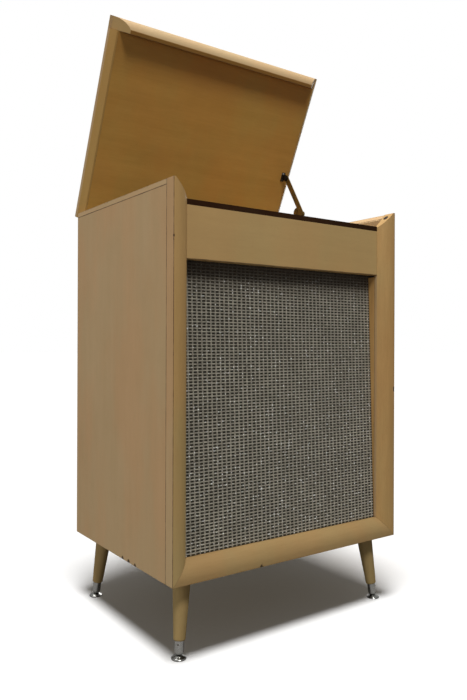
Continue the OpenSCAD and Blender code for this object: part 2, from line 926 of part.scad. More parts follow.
module amp_chassis() {
    wall = 1.5;
    slot_low = 12;
    slot_h = 16;
    color("#8b8d8c") place() translate([amp[0], amp[1], floor_z]) difference() {
        translate([-amp_size[0] / 2, -amp_size[1] / 2, 0]) cube(amp_size);
        translate([-amp_size[0] / 2 + wall, -amp_size[1] / 2 + wall, -1])
            cube([amp_size[0] - 2 * wall, amp_size[1] - 2 * wall, amp_size[2] + 1 - wall]);
        translate([-amp_size[0], -amp_size[1] / 4, slot_low])
            cube([2 * amp_size[0], amp_size[1] / 2, slot_h]);
    }
}

// Mains and output transformers.
module amp_transformer() {
    coil_in = 8;
    coil_low = 6;
    color("#3a3a3c") place() for (t = transformers) {
        at = amp + t[0];
        size = t[1];
        translate([at[0], at[1], amp_top]) union() {
            translate([-size[0] / 2, -size[1] / 4, 0]) cube([size[0], size[1] / 2, size[2]]);
            translate([-size[0] / 2 + coil_in, -size[1] / 2, coil_low])
                cube([size[0] - 2 * coil_in, size[1], size[2] - 2 * coil_low]);
        }
    }
}

module amp_tubes() {
    socket_out = 3;
    socket_h = 4;
    base_r = 13;
    base_h = 20;
    glass_r = 12;
    glass_h = 44;
    color("#c8c2b4") place() for (x = tube_x)
        translate([amp[0] + x, amp[1], amp_top]) union() {
            cylinder(r = base_r + socket_out, h = socket_h);
            cylinder(r = base_r, h = base_h);
            translate([0, 0, base_h]) cylinder(r = glass_r, h = glass_h);
            translate([0, 0, base_h + glass_h]) intersection() {
                sphere(r = glass_r);
                translate([0, 0, glass_r]) cube(2 * glass_r, center = true);
            }
        }
}

// Rubber gland for the mains lead in the back.
module power_inlet() {
    flange_r = 10;
    flange_in = 2.4;
    flange_out = 2.2;
    bore_r = 3.2;
    whole = flange_in + back_t + flange_out;
    color("#1a1a1a") place() translate([inlet_at[0], case_d - back_t - flange_in, inlet_at[1]])
        rotate([-90, 0, 0]) difference() {
            union() {
                cylinder(r = flange_r, h = flange_in);
                cylinder(r = inlet_r, h = whole - 1);
                translate([0, 0, flange_in + back_t]) cylinder(r = flange_r, h = flange_out);
            }
            translate([0, 0, -1]) cylinder(r = bore_r, h = whole + 2);
        }
}

// Potentiometers below the control plate.
pot_r = 11;
pot_low = deck_under - 13;
control_t = 2.5;

// Plate on the motor board with the two controls below it.
module control_plate() {
    corner = 8;
    color("#c7b58c") place() difference() {
        union() {
            translate([control_at[0], control_at[1], deck_z]) rounded_box(control_size, corner, control_t);
            for (at = [volume_at, tone_at]) union() {
                z_rod(at, pot_r, pot_low, deck_under);
                z_rod(at, bush_r, deck_under - eps, deck_z + eps);
            }
        }
        for (at = [volume_at, tone_at])
            z_rod(at, shaft_r + turning_gap, pot_low - 1, deck_z + control_t + 1);
    }
}

module knob(at) {
    low = deck_z + control_t + 0.8;
    skirt_h = 3;
    edge_h = 1;
    grip_r = knob_r - 1.5;
    top_r = knob_r - 3;
    face_r = knob_r - 5;
    flutes = 24;
    flute_r = 0.8;
    flute_at = knob_r - 1.6;
    mark_w = 1;
    mark_t = 0.6;
    grip_low = low + skirt_h;
    face_z = low + knob_h;
    color("#e2d6b8") place() difference() {
        union() {
            z_rod(at, shaft_r, pot_low + 1, low + 2);
            z_rod(at, knob_r, low, grip_low);
            translate([at[0], at[1], grip_low])
                cylinder(r1 = grip_r, r2 = top_r, h = knob_h - skirt_h - edge_h);
            translate([at[0], at[1], face_z - edge_h]) cylinder(r1 = top_r, r2 = face_r, h = edge_h);
        }
        for (k = [0 : flutes - 1])
            z_rod(at + flute_at * dir(k * 360 / flutes), flute_r, grip_low, face_z + 1);
        translate([at[0] - mark_w / 2, at[1] - knob_r + 1, face_z - mark_t])
            cube([mark_w, face_r - 1, mark_t + 1]);
    }
}

module volume_knob() {
    knob(volume_at);
}

module tone_knob() {
    knob(tone_at);
}

// Record changer.
base_wall = 3;
base_top = deck_z + changer_h;
pivot_low = base_top + 3;
post_r = 4;
post_bush_h = 24;
arm_post_r = 5;
arm_post_top = pivot_low + 14;
idler_post_r = 2;
lever_r = 3;
shank_r = 6;

module changer_base() {
    rest_at = arm_pivot - [0, 150];
    rest_r = 4;
    cradle = [14, 10, 3];
    cradle_lip = 2;
    cradle_at = rest_at - [cradle[1], cradle[1]] / 2;
    cradle_z = arm_z - 9.5;
    corner = 18;
    bush_out_r = 9;
    boss_r = 24;
    pulley_hole_r = 7;
    idler_post_top = base_top + 13;
    color("#d2cab6") place() difference() {
        union() {
            translate([changer[0], changer[1], deck_z]) rounded_box(changer_size, corner, changer_h);
            z_rod(record_post, bush_out_r, base_top - eps, base_top + post_bush_h);
            z_rod(arm_pivot, boss_r, base_top - eps, pivot_low);
            z_rod(arm_pivot, arm_post_r, base_top, arm_post_top);
            z_rod(idler_at, idler_post_r, base_top - eps, idler_post_top);
            z_rod(rest_at, rest_r, base_top - eps, cradle_z + eps);
            translate([cradle_at[0], cradle_at[1], cradle_z]) cube(cradle);
            translate([cradle_at[0] + cradle[0] - cradle_lip, cradle_at[1], cradle_z])
                cube([cradle_lip, cradle[1], cradle[1]]);
        }
        translate([changer[0], changer[1], deck_z - 1])
            rounded_box(changer_size - 2 * [base_wall, base_wall], corner - base_wall,
                changer_h + 1 - base_wall);
        z_rod(record_post, post_r + turning_gap, deck_z, base_top + post_bush_h + 1);
        z_rod(pulley_at, pulley_hole_r, deck_z, base_top + 1);
        z_rod(lever_at, lever_r + turning_gap, deck_z, base_top + 1);
        z_rod(platter_at, shank_r, deck_z, base_top + 1);
    }
}

// Platter, its rubber mat and the fixed spindle they turn on.
hub_r = 14;
sleeve_r = 6;
sleeve_top = platter_low + platter_h - 3.6;
spindle_gap = 1.2;
web_t = 3;
platter_top = platter_low + platter_h;
mat_top = platter_top + 3;
spindle_top = mat_top + 68;

module platter() {
    color("#6a5c4c") place() difference() {
        z_rod(platter_at, platter_d / 2, platter_low, platter_top);
        difference() {
            z_rod(platter_at, rim_in_r, platter_low - 1, platter_top - web_t);
            z_rod(platter_at, hub_r, platter_low - 2, platter_top);
        }
        z_rod(platter_at, sleeve_r + bearing_play, platter_low - 1, platter_top - web_t);
        z_rod(platter_at, spindle_d / 2 + spindle_gap, platter_low - 1, platter_top + 1);
    }
}

module platter_mat() {
    edge_in = 2.5;
    grooves = 9;
    groove_first = 48;
    groove_pitch = 8;
    groove_w = 4;
    groove_t = 0.8;
    color("#2b2723") place() difference() {
        z_rod(platter_at, platter_d / 2 - edge_in, platter_top, mat_top);
        z_rod(platter_at, spindle_d / 2 + spindle_gap, platter_top - 1, mat_top + 1);
        for (k = [0 : grooves - 1]) difference() {
            z_rod(platter_at, groove_first + k * groove_pitch + groove_w, mat_top - groove_t, mat_top + 1);
            z_rod(platter_at, groove_first + k * groove_pitch, mat_top - 1, mat_top + 2);
        }
    }
}

module spindle() {
    shank_low = deck_z - 14;
    washer_r = 12;
    washer_t = 2;
    tip_r = 1.6;
    tip_h = 4;
    color("#c9c8c4") place() union() {
        z_rod(platter_at, shank_r, shank_low, base_top);
        z_rod(platter_at, washer_r, base_top, base_top + washer_t);
        z_rod(platter_at, sleeve_r, base_top + washer_t - 1, sleeve_top);
        z_rod(platter_at, spindle_d / 2, sleeve_top - 1, spindle_top);
        translate([platter_at[0], platter_at[1], spindle_top])
            cylinder(r1 = spindle_d / 2, r2 = tip_r, h = tip_h);
    }
}

// Tone arm coordinates: X from the pivot to the head, Z from the lift axis.
module on_arm() {
    place() translate([arm_pivot[0], arm_pivot[1], arm_z]) rotate([0, 0, -90]) children();
}

module y_rod(at, r, half) {
    translate([at[0], half, at[1]]) rotate([90, 0, 0]) cylinder(r = r, h = 2 * half);
}

turret_top = arm_post_top + 2;
ear_in = 7;
ear_t = 2;
lift_pin_r = 1.5;

module tonearm_turret() {
    turret_r = 18;
    turret_low = pivot_low + turning_gap;
    ear_r = 5;
    color("#b7b3a8") on_arm() {
        difference() {
            translate([0, 0, turret_low - arm_z]) cylinder(r = turret_r, h = turret_top - turret_low);
            translate([0, 0, -arm_z]) cylinder(r = arm_post_r + bearing_play, h = arm_post_top + turning_gap);
        }
        for (side = [-1, 1]) translate([0, side * (ear_in + ear_t / 2), 0]) union() {
            y_rod([0, 0], ear_r, ear_t / 2);
            translate([-ear_r, -ear_t / 2, turret_top - arm_z - eps])
                cube([2 * ear_r, ear_t, arm_z - turret_top]);
        }
        y_rod([0, 0], lift_pin_r, ear_in + ear_t / 4);
    }
}

// Head shell and cartridge along the arm.
head_x = 168;
shell_end = arm_reach + 13;
shell_under = -4;

module tonearm() {
    tail = 18;
    root = 10;
    root_half = 6;
    neck_half = 4;
    deep = 8;
    weight = [20, 14, 12];
    weight_end = tail + weight[0] - 2;
    shell_back = head_x - 6;
    shell_front = shell_end - 3;
    shoulder = head_x + 8;
    shell_half = 10;
    nose_half = 7;
    shell_h = 9;
    lift = [6, 9, 1.6];
    lift_back = 14;
    color("#d9cfb4") on_arm() difference() {
        union() {
            translate([0, 0, -deep / 2]) linear_extrude(deep) polygon([
                [-tail, -root_half], [root, -root_half], [head_x, -neck_half],
                [head_x, neck_half], [root, root_half], [-tail, root_half]
            ]);
            translate([-weight_end, -weight[1] / 2, -weight[2] / 2]) cube(weight);
            translate([0, 0, shell_under]) linear_extrude(shell_h) polygon([
                [shell_back, -neck_half], [shoulder, -shell_half], [shell_front, -shell_half],
                [shell_end, -nose_half], [shell_end, nose_half], [shell_front, shell_half],
                [shoulder, shell_half], [shell_back, neck_half]
            ]);
            translate([shell_end - lift_back, shell_half - 1, 1]) cube(lift);
        }
        y_rod([0, 0], lift_pin_r + bearing_play, weight[0]);
    }
}

module cartridge() {
    body = [22, 15];
    body_low = -12;
    body_back = 16;
    stylus_h = 1.5;
    tip_r = 0.3;
    root_r = 1;
    color("#2c2a2a") on_arm() union() {
        translate([arm_reach - body_back, -body[1] / 2, body_low])
            cube([body[0], body[1], shell_under - body_low]);
        translate([arm_reach, 0, body_low - stylus_h]) cylinder(r1 = tip_r, r2 = root_r, h = stylus_h + eps);
    }
}

// Arm that steadies the record stack, turning in its bush on the base and parked aside.
module record_arm() {
    arm_low = spindle_top + 8;
    arm_w = 10;
    arm_t = 5;
    collar_r = 7;
    collar_h = 8;
    pad_r = 12;
    pad_under = 2;
    run = platter_at - record_post;
    color("#c9c3b2") place() translate([record_post[0], record_post[1], 0])
        rotate([0, 0, atan2(run[1], run[0]) - record_park]) union() {
            z_rod([0, 0], post_r, base_top - 2, arm_low + arm_t + 1);
            z_rod([0, 0], collar_r, arm_low - collar_h, arm_low + arm_t + 1);
            translate([0, -arm_w / 2, arm_low]) cube([norm(run), arm_w, arm_t]);
            z_rod([norm(run), 0], pad_r, arm_low - pad_under, arm_low + arm_t);
        }
}

// Motor hung below the base, with the stepped pulley that drives the idler at three speeds.
motor_top = base_top - base_wall - 8;

module changer_motor() {
    motor_r = 28;
    motor_h = 38;
    foot_at = 22;
    foot_r = 3;
    bore_r = 1.9;
    bore_h = 30;
    color("#4b4d50") place() difference() {
        union() {
            z_rod(pulley_at, motor_r, motor_top - motor_h, motor_top);
            for (a = [30, 150, 270])
                z_rod(pulley_at + foot_at * dir(a), foot_r, motor_top - eps, base_top - base_wall);
        }
        z_rod(pulley_at, bore_r, motor_top - bore_h, motor_top + 1);
    }
}

module motor_pulley() {
    slow = 33.3;
    middle = 45;
    fast = 78;
    rotor_r = 1.5;
    shaft_low = motor_top - 28;
    step_low = base_top + 0.8;
    step_h = 2.2;
    slow_top = platter_low + 7.5;
    color("#b99a4f") place() union() {
        z_rod(pulley_at, rotor_r, shaft_low, slow_top + 0.5);
        z_rod(pulley_at, pulley_r * fast / slow, step_low, step_low + step_h);
        z_rod(pulley_at, pulley_r * middle / slow, step_low + step_h, step_low + 2 * step_h);
        z_rod(pulley_at, pulley_r, step_low + 2 * step_h, slow_top);
    }
}

module idler_wheel() {
    low = platter_low + 1.5;
    tyre_w = 5;
    tyre_h = 4;
    hub_out_r = 5;
    hub_rise = 2;
    dish = 1;
    color("#2f2b28") place() difference() {
        union() {
            z_rod(idler_at, idler_r, low, low + tyre_h);
            z_rod(idler_at, hub_out_r, low - dish, low + tyre_h + hub_rise);
        }
        difference() {
            z_rod(idler_at, idler_r - tyre_w, low + tyre_h - dish, low + tyre_h + 1);
            z_rod(idler_at, hub_out_r, low, low + tyre_h + hub_rise);
        }
        z_rod(idler_at, idler_post_r + bearing_play, low - 2, low + tyre_h + hub_rise + 1);
    }
}

module speed_lever() {
    low = base_top + 0.5;
    hub_lever_r = 8;
    hub_lever_h = 6;
    blade = [26, 6, 3];
    grip_r = 4.5;
    grip_h = 10;
    color("#e2d6b8") place() union() {
        z_rod(lever_at, lever_r, deck_z + 1, low + 1);
        z_rod(lever_at, hub_lever_r, low, low + hub_lever_h);
        translate([lever_at[0] - blade[0], lever_at[1] - blade[1] / 2, low + 1]) cube(blade);
        z_rod(lever_at - [blade[0], 0], grip_r, low + 1, low + 1 + grip_h);
    }
}

left_side_panel();
right_side_panel();
side_lippings();
left_stile();
right_stile();
bottom_rail();
fascia_board();
fascia_top_strip();
grille_jambs();
baffle_board();
grille_cloth();
bottom_panel();
back_panel();
back_screws();
hinge_rail();
motor_board();
case_cleats();
lid_panel();
lid_end_lippings();
lid_moulding();
lid_bumpers();
hinge_case_leaves();
hinge_lid_leaves();
hinge_pins();
stay_lid_bracket();
stay_upper_arm();
stay_lower_arm();
stay_wall_plate();
leg_front_left();
leg_front_right();
leg_rear_left();
leg_rear_right();
leg_plates();
leg_ferrules();
glide_front_left();
glide_front_right();
glide_rear_left();
glide_rear_right();
speaker_basket();
speaker_cone();
speaker_magnet();
amp_chassis();
amp_transformer();
amp_tubes();
power_inlet();
control_plate();
volume_knob();
tone_knob();
changer_base();
platter();
platter_mat();
spindle();
tonearm_turret();
tonearm();
cartridge();
record_arm();
changer_motor();
motor_pulley();
idler_wheel();
speed_lever();
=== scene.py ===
"""Looks of a console record player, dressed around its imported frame.

Case coordinates are in millimetres: X from the middle, Y from the front plane, Z from the floor.
The scene is in metres, and `spot` turns the one into the other.
"""

import logging
import math
from dataclasses import dataclass
from enum import Enum
from typing import ClassVar, Sequence

import bmesh
import bpy
from mathutils import Matrix, Quaternion, Vector


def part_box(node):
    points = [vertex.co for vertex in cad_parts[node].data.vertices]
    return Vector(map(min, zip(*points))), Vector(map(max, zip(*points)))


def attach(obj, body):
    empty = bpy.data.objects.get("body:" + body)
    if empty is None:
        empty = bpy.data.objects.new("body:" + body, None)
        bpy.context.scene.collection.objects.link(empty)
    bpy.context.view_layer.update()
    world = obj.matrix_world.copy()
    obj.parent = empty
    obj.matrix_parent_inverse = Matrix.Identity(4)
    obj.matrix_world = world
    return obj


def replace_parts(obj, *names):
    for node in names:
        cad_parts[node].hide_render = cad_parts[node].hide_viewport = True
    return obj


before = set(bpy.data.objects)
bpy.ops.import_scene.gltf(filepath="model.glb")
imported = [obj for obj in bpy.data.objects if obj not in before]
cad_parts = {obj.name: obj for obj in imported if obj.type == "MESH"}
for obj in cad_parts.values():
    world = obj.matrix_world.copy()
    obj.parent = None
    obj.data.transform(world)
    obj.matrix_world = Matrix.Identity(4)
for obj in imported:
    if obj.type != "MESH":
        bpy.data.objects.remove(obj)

LOG = logging.getLogger("console")
MM = 0.001
FRONT_Y = -231.144
CASE_DEPTH = 444.0
HINGE = (446.0, 878.0)
LID_OPEN = math.radians(64.5)
ORIGIN = (0.0, 0.0, 0.0)
UP = Vector((0.0, 0.0, 1.0))
WHITE = (1.0, 1.0, 1.0, 1.0)

Colour = tuple[float, float, float]
Tones = tuple[Colour, Colour]
Point = tuple[float, float, float]
Pair = tuple[float, float]
NodeTree = bpy.types.NodeTree


def spot(x: float, y: float, z: float) -> Vector:
    """A point in case millimetres, in the scene's metres."""
    return Vector((x, y + FRONT_Y, z)) * MM


def on_lid(x: float, y: float, z: float) -> Vector:
    """A point drawn on the closed lid, in case millimetres, at its place on the open lid, in metres."""
    leant = Matrix.Rotation(-LID_OPEN, 2) @ Vector((y - HINGE[0], z - HINGE[1]))
    return spot(x, leant.x + HINGE[0], leant.y + HINGE[1])


def lid_way(way: Sequence[float]) -> Vector:
    """A direction drawn on the closed lid, as it points on the open lid."""
    return Matrix.Rotation(-LID_OPEN, 3, "X") @ Vector(way)


def ring_way(degrees: float) -> Vector:
    """A level direction, in degrees from X towards Y."""
    return Vector((math.cos(math.radians(degrees)), math.sin(math.radians(degrees)), 0.0))


def rgba(colour: Colour) -> tuple[float, float, float, float]:
    """A linear colour with full alpha."""
    return (*colour, 1.0)


class Grain(Enum):
    """The way the grain runs on a board, as the stretch of its figure."""

    ACROSS = (12.0, 1.0, 1.0)
    DEEP = (1.0, 12.0, 1.0)
    UPRIGHT = (1.0, 1.0, 12.0)


class Trade(Enum):
    """What a node tree makes."""

    SHADES = "ShaderNodeTree"
    SHAPES = "GeometryNodeTree"


class Lights(Enum):
    """What a light falls on: the floor alone, or everything but the floor."""

    FLOOR = "INCLUDE"
    CONSOLE = "EXCLUDE"


class Wire:
    """A node's output. Arithmetic on it, as on a number, adds a step to its graph."""

    def __init__(self, graph: "Graph", socket: bpy.types.NodeSocket) -> None:
        """Keeps the output and the graph that it is in."""
        self.graph = graph
        self.socket = socket

    def __add__(self, other: "Wire | float") -> "Wire":
        """The sum."""
        return self.graph.math("ADD", self, other)

    def __sub__(self, other: "Wire | float") -> "Wire":
        """The difference."""
        return self.graph.math("SUBTRACT", self, other)

    def __rsub__(self, other: float) -> "Wire":
        """A number less this one."""
        return self.graph.math("SUBTRACT", other, self)

    def __mul__(self, other: "Wire | float") -> "Wire":
        """The product."""
        return self.graph.math("MULTIPLY", self, other)

    def __truediv__(self, other: "Wire | float") -> "Wire":
        """The quotient."""
        return self.graph.math("DIVIDE", self, other)

    def __abs__(self) -> "Wire":
        """The number without its sign."""
        return self.graph.math("ABSOLUTE", self)

    def swing(self, reach: "Wire | float") -> "Wire":
        """The distance from a half, times a reach."""
        return (self - 0.5) * reach

    def held(self) -> "Wire":
        """The last step of arithmetic, held between 0 and 1."""
        self.socket.node.use_clamp = True
        return self


class Block:
    """A node, with its outputs by name or number."""

    def __init__(self, graph: "Graph", node: bpy.types.Node) -> None:
        """Keeps the node and the graph that it is in."""
        self.graph = graph
        self.node = node

    def __getitem__(self, key: str | int) -> Wire:
        """One output."""
        return Wire(self.graph, self.node.outputs[key])


class Graph:
    """Adds nodes to one tree, with each input given as a value or as another node's output.

    SOCKETS names the kind of socket that holds a value, by its type or its length, and the one for an output.
    """

    SOCKETS: ClassVar[dict] = {float: "Float", int: "Int", 3: "Vector", 4: "Color",
                               "VALUE": "Float", "VECTOR": "Vector", "RGBA": "Color", "GEOMETRY": "Geometry"}

    def __init__(self, tree: NodeTree) -> None:
        """Starts on a tree."""
        self.tree = tree

    @classmethod
    def group(cls, name: str, trade: Trade, **inputs: object) -> tuple["Graph", dict[str, Wire]]:
        """Starts a node group.

        Args:
            name: The group's name.
            trade: What it makes.
            inputs: The first value of each input by name, or Geometry or Material for one without a value.

        Returns:
            The graph, and the group's inputs by name.
        """
        graph = cls(bpy.data.node_groups.new(name, trade.value))
        for label, value in inputs.items():
            if isinstance(value, str):
                graph.tree.interface.new_socket(name=label, in_out="INPUT", socket_type="NodeSocket" + value)
                continue
            known = cls.SOCKETS[len(value) if isinstance(value, tuple) else type(value)]
            item = graph.tree.interface.new_socket(name=label, in_out="INPUT", socket_type="NodeSocket" + known)
            item.default_value = value
        source = Block(graph, graph.tree.nodes.new("NodeGroupInput"))
        return graph, {label: source[label] for label in inputs}

    def close(self, **results: Wire) -> NodeTree:
        """Ends a node group.

        Args:
            results: What the group puts out, by name.

        Returns:
            The group.
        """
        for label, wire in results.items():
            self.tree.interface.new_socket(name=label, in_out="OUTPUT",
                                           socket_type="NodeSocket" + self.SOCKETS[wire.socket.type])
        self.add("NodeGroupOutput", results)
        return self.tree

    def put(self, socket: bpy.types.NodeSocket, value: object) -> None:
        """Sets an input.

        Args:
            socket: The input.
            value: Its value, or the output that feeds it.
        """
        if isinstance(value, Wire):
            self.tree.links.new(value.socket, socket)
        else:
            socket.default_value = value

    def add(self, kind: str, inputs: dict | None = None, **settings: object) -> Block:
        """Adds a node.

        Args:
            kind: The node's type name.
            inputs: Values or outputs by socket name or number.
            settings: The node's own properties.

        Returns:
            The node.
        """
        node = self.tree.nodes.new(kind)
        for key, value in settings.items():
            setattr(node, key, value)
        for key, value in (inputs or {}).items():
            self.put(node.inputs[key], value)
        return Block(self, node)

    def use(self, effect: NodeTree, **inputs: object) -> Block:
        """Places a shared effect."""
        return self.add("ShaderNodeGroup", inputs, node_tree=effect)

    def math(self, operation: str, *values: Wire | float) -> Wire:
        """One step of arithmetic on up to three numbers."""
        return self.add("ShaderNodeMath", dict(enumerate(values)), operation=operation)[0]

    def vector(self, operation: str, *values: Wire | Point) -> Wire:
        """One step of arithmetic on vectors, which gives a number for DOT_PRODUCT and LENGTH."""
        step = self.add("ShaderNodeVectorMath", dict(enumerate(values)), operation=operation)
        return step["Value" if operation in ("DOT_PRODUCT", "LENGTH") else "Vector"]

    def joined(self, x: Wire | float = 0.0, y: Wire | float = 0.0, z: Wire | float = 0.0) -> Wire:
        """A vector from three numbers."""
        return self.add("ShaderNodeCombineXYZ", {0: x, 1: y, 2: z})[0]

    def axes(self, place: Wire) -> Block:
        """The X, Y and Z of a vector."""
        return self.add("ShaderNodeSeparateXYZ", {0: place})

    def facing(self) -> Wire:
        """The way that the flat face points."""
        return self.add("ShaderNodeNewGeometry")["True Normal"]

    def mapped(self, place: Wire, scale: Point, shift: Point = ORIGIN, lean: float = 0.0, way: str = "POINT") -> Wire:
        """Coordinates scaled, leant about X in radians and shifted, or the pattern on them where way is TEXTURE."""
        return self.add("ShaderNodeMapping", {"Vector": place, "Location": shift, "Rotation": (lean, 0.0, 0.0),
                                              "Scale": scale}, vector_type=way)[0]

    def mix(self, mask: Wire | float, under: object, over: object, blend: str = "MIX") -> Wire:
        """Lays one colour over another, as far as the mask shows it."""
        return self.add("ShaderNodeMix", {0: mask, 6: under, 7: over}, data_type="RGBA", blend_type=blend)[2]

    def coats(self, colour: Wire, *coats: tuple[Wire, tuple]) -> Wire:
        """Lays tones over a colour in turn.

        Args:
            colour: The colour to start from.
            coats: The mask and the tone of each coat.

        Returns:
            The colour.
        """
        for mask, tone in coats:
            colour = self.mix(mask, colour, tone)
        return colour

    def remap(self, value: Wire, low: Wire | float, high: Wire | float, a: Wire | float = 0.0,
              b: Wire | float = 1.0) -> Wire:
        """Maps the numbers from low to high smoothly onto those from a to b."""
        return self.add("ShaderNodeMapRange", dict(enumerate((value, low, high, a, b))),
                        interpolation_type="SMOOTHSTEP")[0]

    def noise(self, place: Wire, scale: Wire | float, detail: float = 3.0, rough: float = 0.55) -> Wire:
        """A cloud of numbers from 0 to 1, with finer clouds in it to some detail and roughness."""
        return self.add("ShaderNodeTexNoise", {"Vector": place, "Scale": scale, "Detail": detail,
                                               "Roughness": rough})["Fac"]

    def bump(self, height: Wire, depth: float, normal: Wire | None = None) -> Wire:
        """Turns a height into a normal.

        Args:
            height: The height, from 0 to 1.
            depth: Its depth in metres.
            normal: The normal under it, if it isn't the surface's own.

        Returns:
            The normal.
        """
        inputs = {"Height": height, "Distance": depth, "Strength": 1.0}
        if normal is not None:
            inputs["Normal"] = normal
        return self.add("ShaderNodeBump", inputs)[0]


class Effects:
    """Shader node groups that several finishes share, each built once."""

    def __init__(self) -> None:
        """Builds every group."""
        self.timber = self._timber()
        self.arris = self._arris()
        self.grime_and_shade = self._grime_and_shade()
        self.dimples = self._dimples()
        self.brushing = self._brushing()
        self.plies = self._plies()
        self.seam = self._seam()
        self.chip = self._chip()

    def _timber(self) -> NodeTree:
        """Makes wood figure: broad bands, fine grain, pores and patches of warmer and cooler tone.

        Returns:
            The group.
        """
        g, i = Graph.group("timber", Trade.SHADES, Place=ORIGIN, Around=ORIGIN, Light=WHITE, Dark=WHITE, Figure=1.0,
                           Pores=0.3, Drift=0.3)
        warp = g.noise(i["Place"], 3.0, 2.0)
        bent = g.vector("ADD", i["Place"], g.joined(warp * 0.05, warp * 0.05))
        bands = g.noise(bent, 42.0, 5.0, 0.6)
        fine = g.noise(bent, 260.0, 4.0, 0.65)
        hair = g.noise(bent, 900.0, 2.0, 0.6)
        pores = g.remap(g.noise(bent, 1500.0, 1.0, 0.5), 0.62, 0.74)
        drift = g.noise(i["Around"], 7.0, 4.0, 0.6)
        hue = g.noise(g.vector("ADD", i["Around"], (3.1, 1.7, 0.9)), 9.0, 3.0)
        wave = (bands.swing(1.5) + fine.swing(0.9)) * i["Figure"] + drift.swing(i["Drift"] * 3.0)
        shade = (wave + 0.5 + hair.swing(0.16) - pores * i["Pores"]).held()
        tint = g.mix(g.remap(hue, 0.35, 0.65), (1.0, 0.90, 0.80, 1.0), (0.90, 1.0, 0.98, 1.0))
        plain = g.mix(shade, i["Dark"], i["Light"])
        return g.close(Color=g.mix((i["Drift"] * 2.0).held(), plain, tint, "MULTIPLY"),
                       Roughness=fine * 0.16 + pores * 0.1, Height=fine * 0.5 - pores * 0.6)

    def _arris(self) -> NodeTree:
        """Makes rounded shading along sharp edges, and a broken mask of the wear on them.

        Returns:
            The group.
        """
        g, i = Graph.group("arris", Trade.SHADES, Place=ORIGIN, Radius=0.001, Nicks=0.5)
        soft = g.add("ShaderNodeBevel", {"Radius": i["Radius"]}, samples=4)
        wide = g.add("ShaderNodeBevel", {"Radius": i["Radius"] * 2.2}, samples=4)
        edge = g.remap(1.0 - g.vector("DOT_PRODUCT", wide[0], g.facing()), 0.03, 0.28)
        spots = g.remap(g.noise(i["Place"], 95.0, 4.0, 0.7), 0.56, 0.66)
        return g.close(Normal=soft[0], Edge=edge, Nick=edge * spots * i["Nicks"])

    def _grime_and_shade(self) -> NodeTree:
        """Makes handling marks as soft smudges, and a mask for corners and hollows from ambient occlusion, partly dirt
        gathered there and partly painted shade.

        Returns:
            The group.
        """
        g, i = Graph.group("grime_and_shade", Trade.SHADES, Place=ORIGIN, Reach=0.03)
        blot = g.noise(i["Place"], 9.0, 4.0, 0.6)
        scuff = g.noise(i["Place"], 70.0, 3.0, 0.7)
        smudge = g.remap(blot, 0.4, 0.72) * (scuff + 0.5)
        # Painted shade: ambient occlusion finds the corners and hollows where shade falls, broken up by scuffs as
        # dirt.
        shut = 1.0 - g.add("ShaderNodeAmbientOcclusion", {"Distance": i["Reach"]}, samples=6)["AO"]
        return g.close(Smudge=smudge, Corner=g.remap(shut, 0.15, 0.8) * (scuff * 0.6 + 0.5))

    def _dimples(self) -> NodeTree:
        """Makes the cells of a hammered or textured coat.

        Returns:
            The group.
        """
        g, i = Graph.group("dimples", Trade.SHADES, Place=ORIGIN, Scale=400.0)
        stir = g.add("ShaderNodeTexNoise", {"Vector": i["Place"], "Scale": 180.0})["Color"]
        cells = g.add("ShaderNodeTexVoronoi", {"Vector": g.vector("ADD", i["Place"], stir), "Scale": i["Scale"]},
                      feature="SMOOTH_F1")
        return g.close(Height=g.remap(cells["Distance"], 0.05, 0.6), Tone=g.noise(i["Place"], 60.0, 4.0))

    def _brushing(self) -> NodeTree:
        """Makes fine lines, tarnish and scratches for bare metal.

        Returns:
            The group.
        """
        g, i = Graph.group("brushing", Trade.SHADES, Place=ORIGIN, Scale=700.0)
        tarnish = g.remap(g.noise(i["Place"], 45.0, 5.0, 0.65), 0.42, 0.7)
        line = g.add("ShaderNodeTexWave", {"Vector": i["Place"], "Scale": 60.0, "Distortion": 60.0, "Detail": 3.0})
        return g.close(Lines=g.noise(i["Place"], i["Scale"], 3.0, 0.7), Tarnish=tarnish,
                       Scratch=g.remap(line["Fac"], 0.96, 1.0))

    def _plies(self) -> NodeTree:
        """Makes the fibre flecks of bare and pressed board."""
        g, i = Graph.group("plies", Trade.SHADES, Place=ORIGIN)
        return g.close(Fibre=g.noise(g.mapped(i["Place"], (1.0, 1.0, 4.0)), 330.0, 6.0, 0.75))

    def _seam(self) -> NodeTree:
        """Makes a thin broken line where a coordinate has one value, on the faces that cross it.

        Returns:
            The group.
        """
        g, i = Graph.group("seam", Trade.SHADES, Place=ORIGIN, Axis=(1.0, 0.0, 0.0), At=0.0)
        away = abs(g.vector("DOT_PRODUCT", i["Place"], i["Axis"]) - i["At"])
        along = abs(g.vector("DOT_PRODUCT", g.facing(), i["Axis"]))
        line = g.remap(away, 0.0005, 0.0013, 1.0, 0.0) * g.remap(along, 0.8, 0.9, 1.0, 0.0)
        return g.close(Line=line * g.remap(g.noise(i["Place"], 45.0, 5.0, 0.7), 0.35, 0.62, 0.5, 1.0))

    def _chip(self) -> NodeTree:
        """Makes a small ragged chip in the lacquer about one point.

        Returns:
            The group.
        """
        g, i = Graph.group("chip", Trade.SHADES, Place=ORIGIN, Centre=ORIGIN, Size=0.003)
        away = g.vector("LENGTH", g.vector("SUBTRACT", i["Place"], i["Centre"]))
        ragged = away * g.remap(g.noise(i["Place"], 420.0, 3.0, 0.7), 0.3, 0.7, 0.7, 1.5)
        return g.close(Chip=g.remap(ragged / i["Size"], 0.7, 1.0, 1.0, 0.0))


EFFECTS = Effects()
SMUDGE_TONE = (0.3, 0.2, 0.1, 1.0)
CHIP_TONE = (0.06, 0.03, 0.012, 1.0)
# Reddish dark brown of the painted shadow that the lid's lip casts on the lid.
LIP_SHADOW_TONE = (0.22, 0.02, 0.002, 1.0)
# Dark brown of the painted shadow that the fascia casts on the grille.
FASCIA_SHADE_TONE = (0.034, 0.019, 0.006, 1.0)


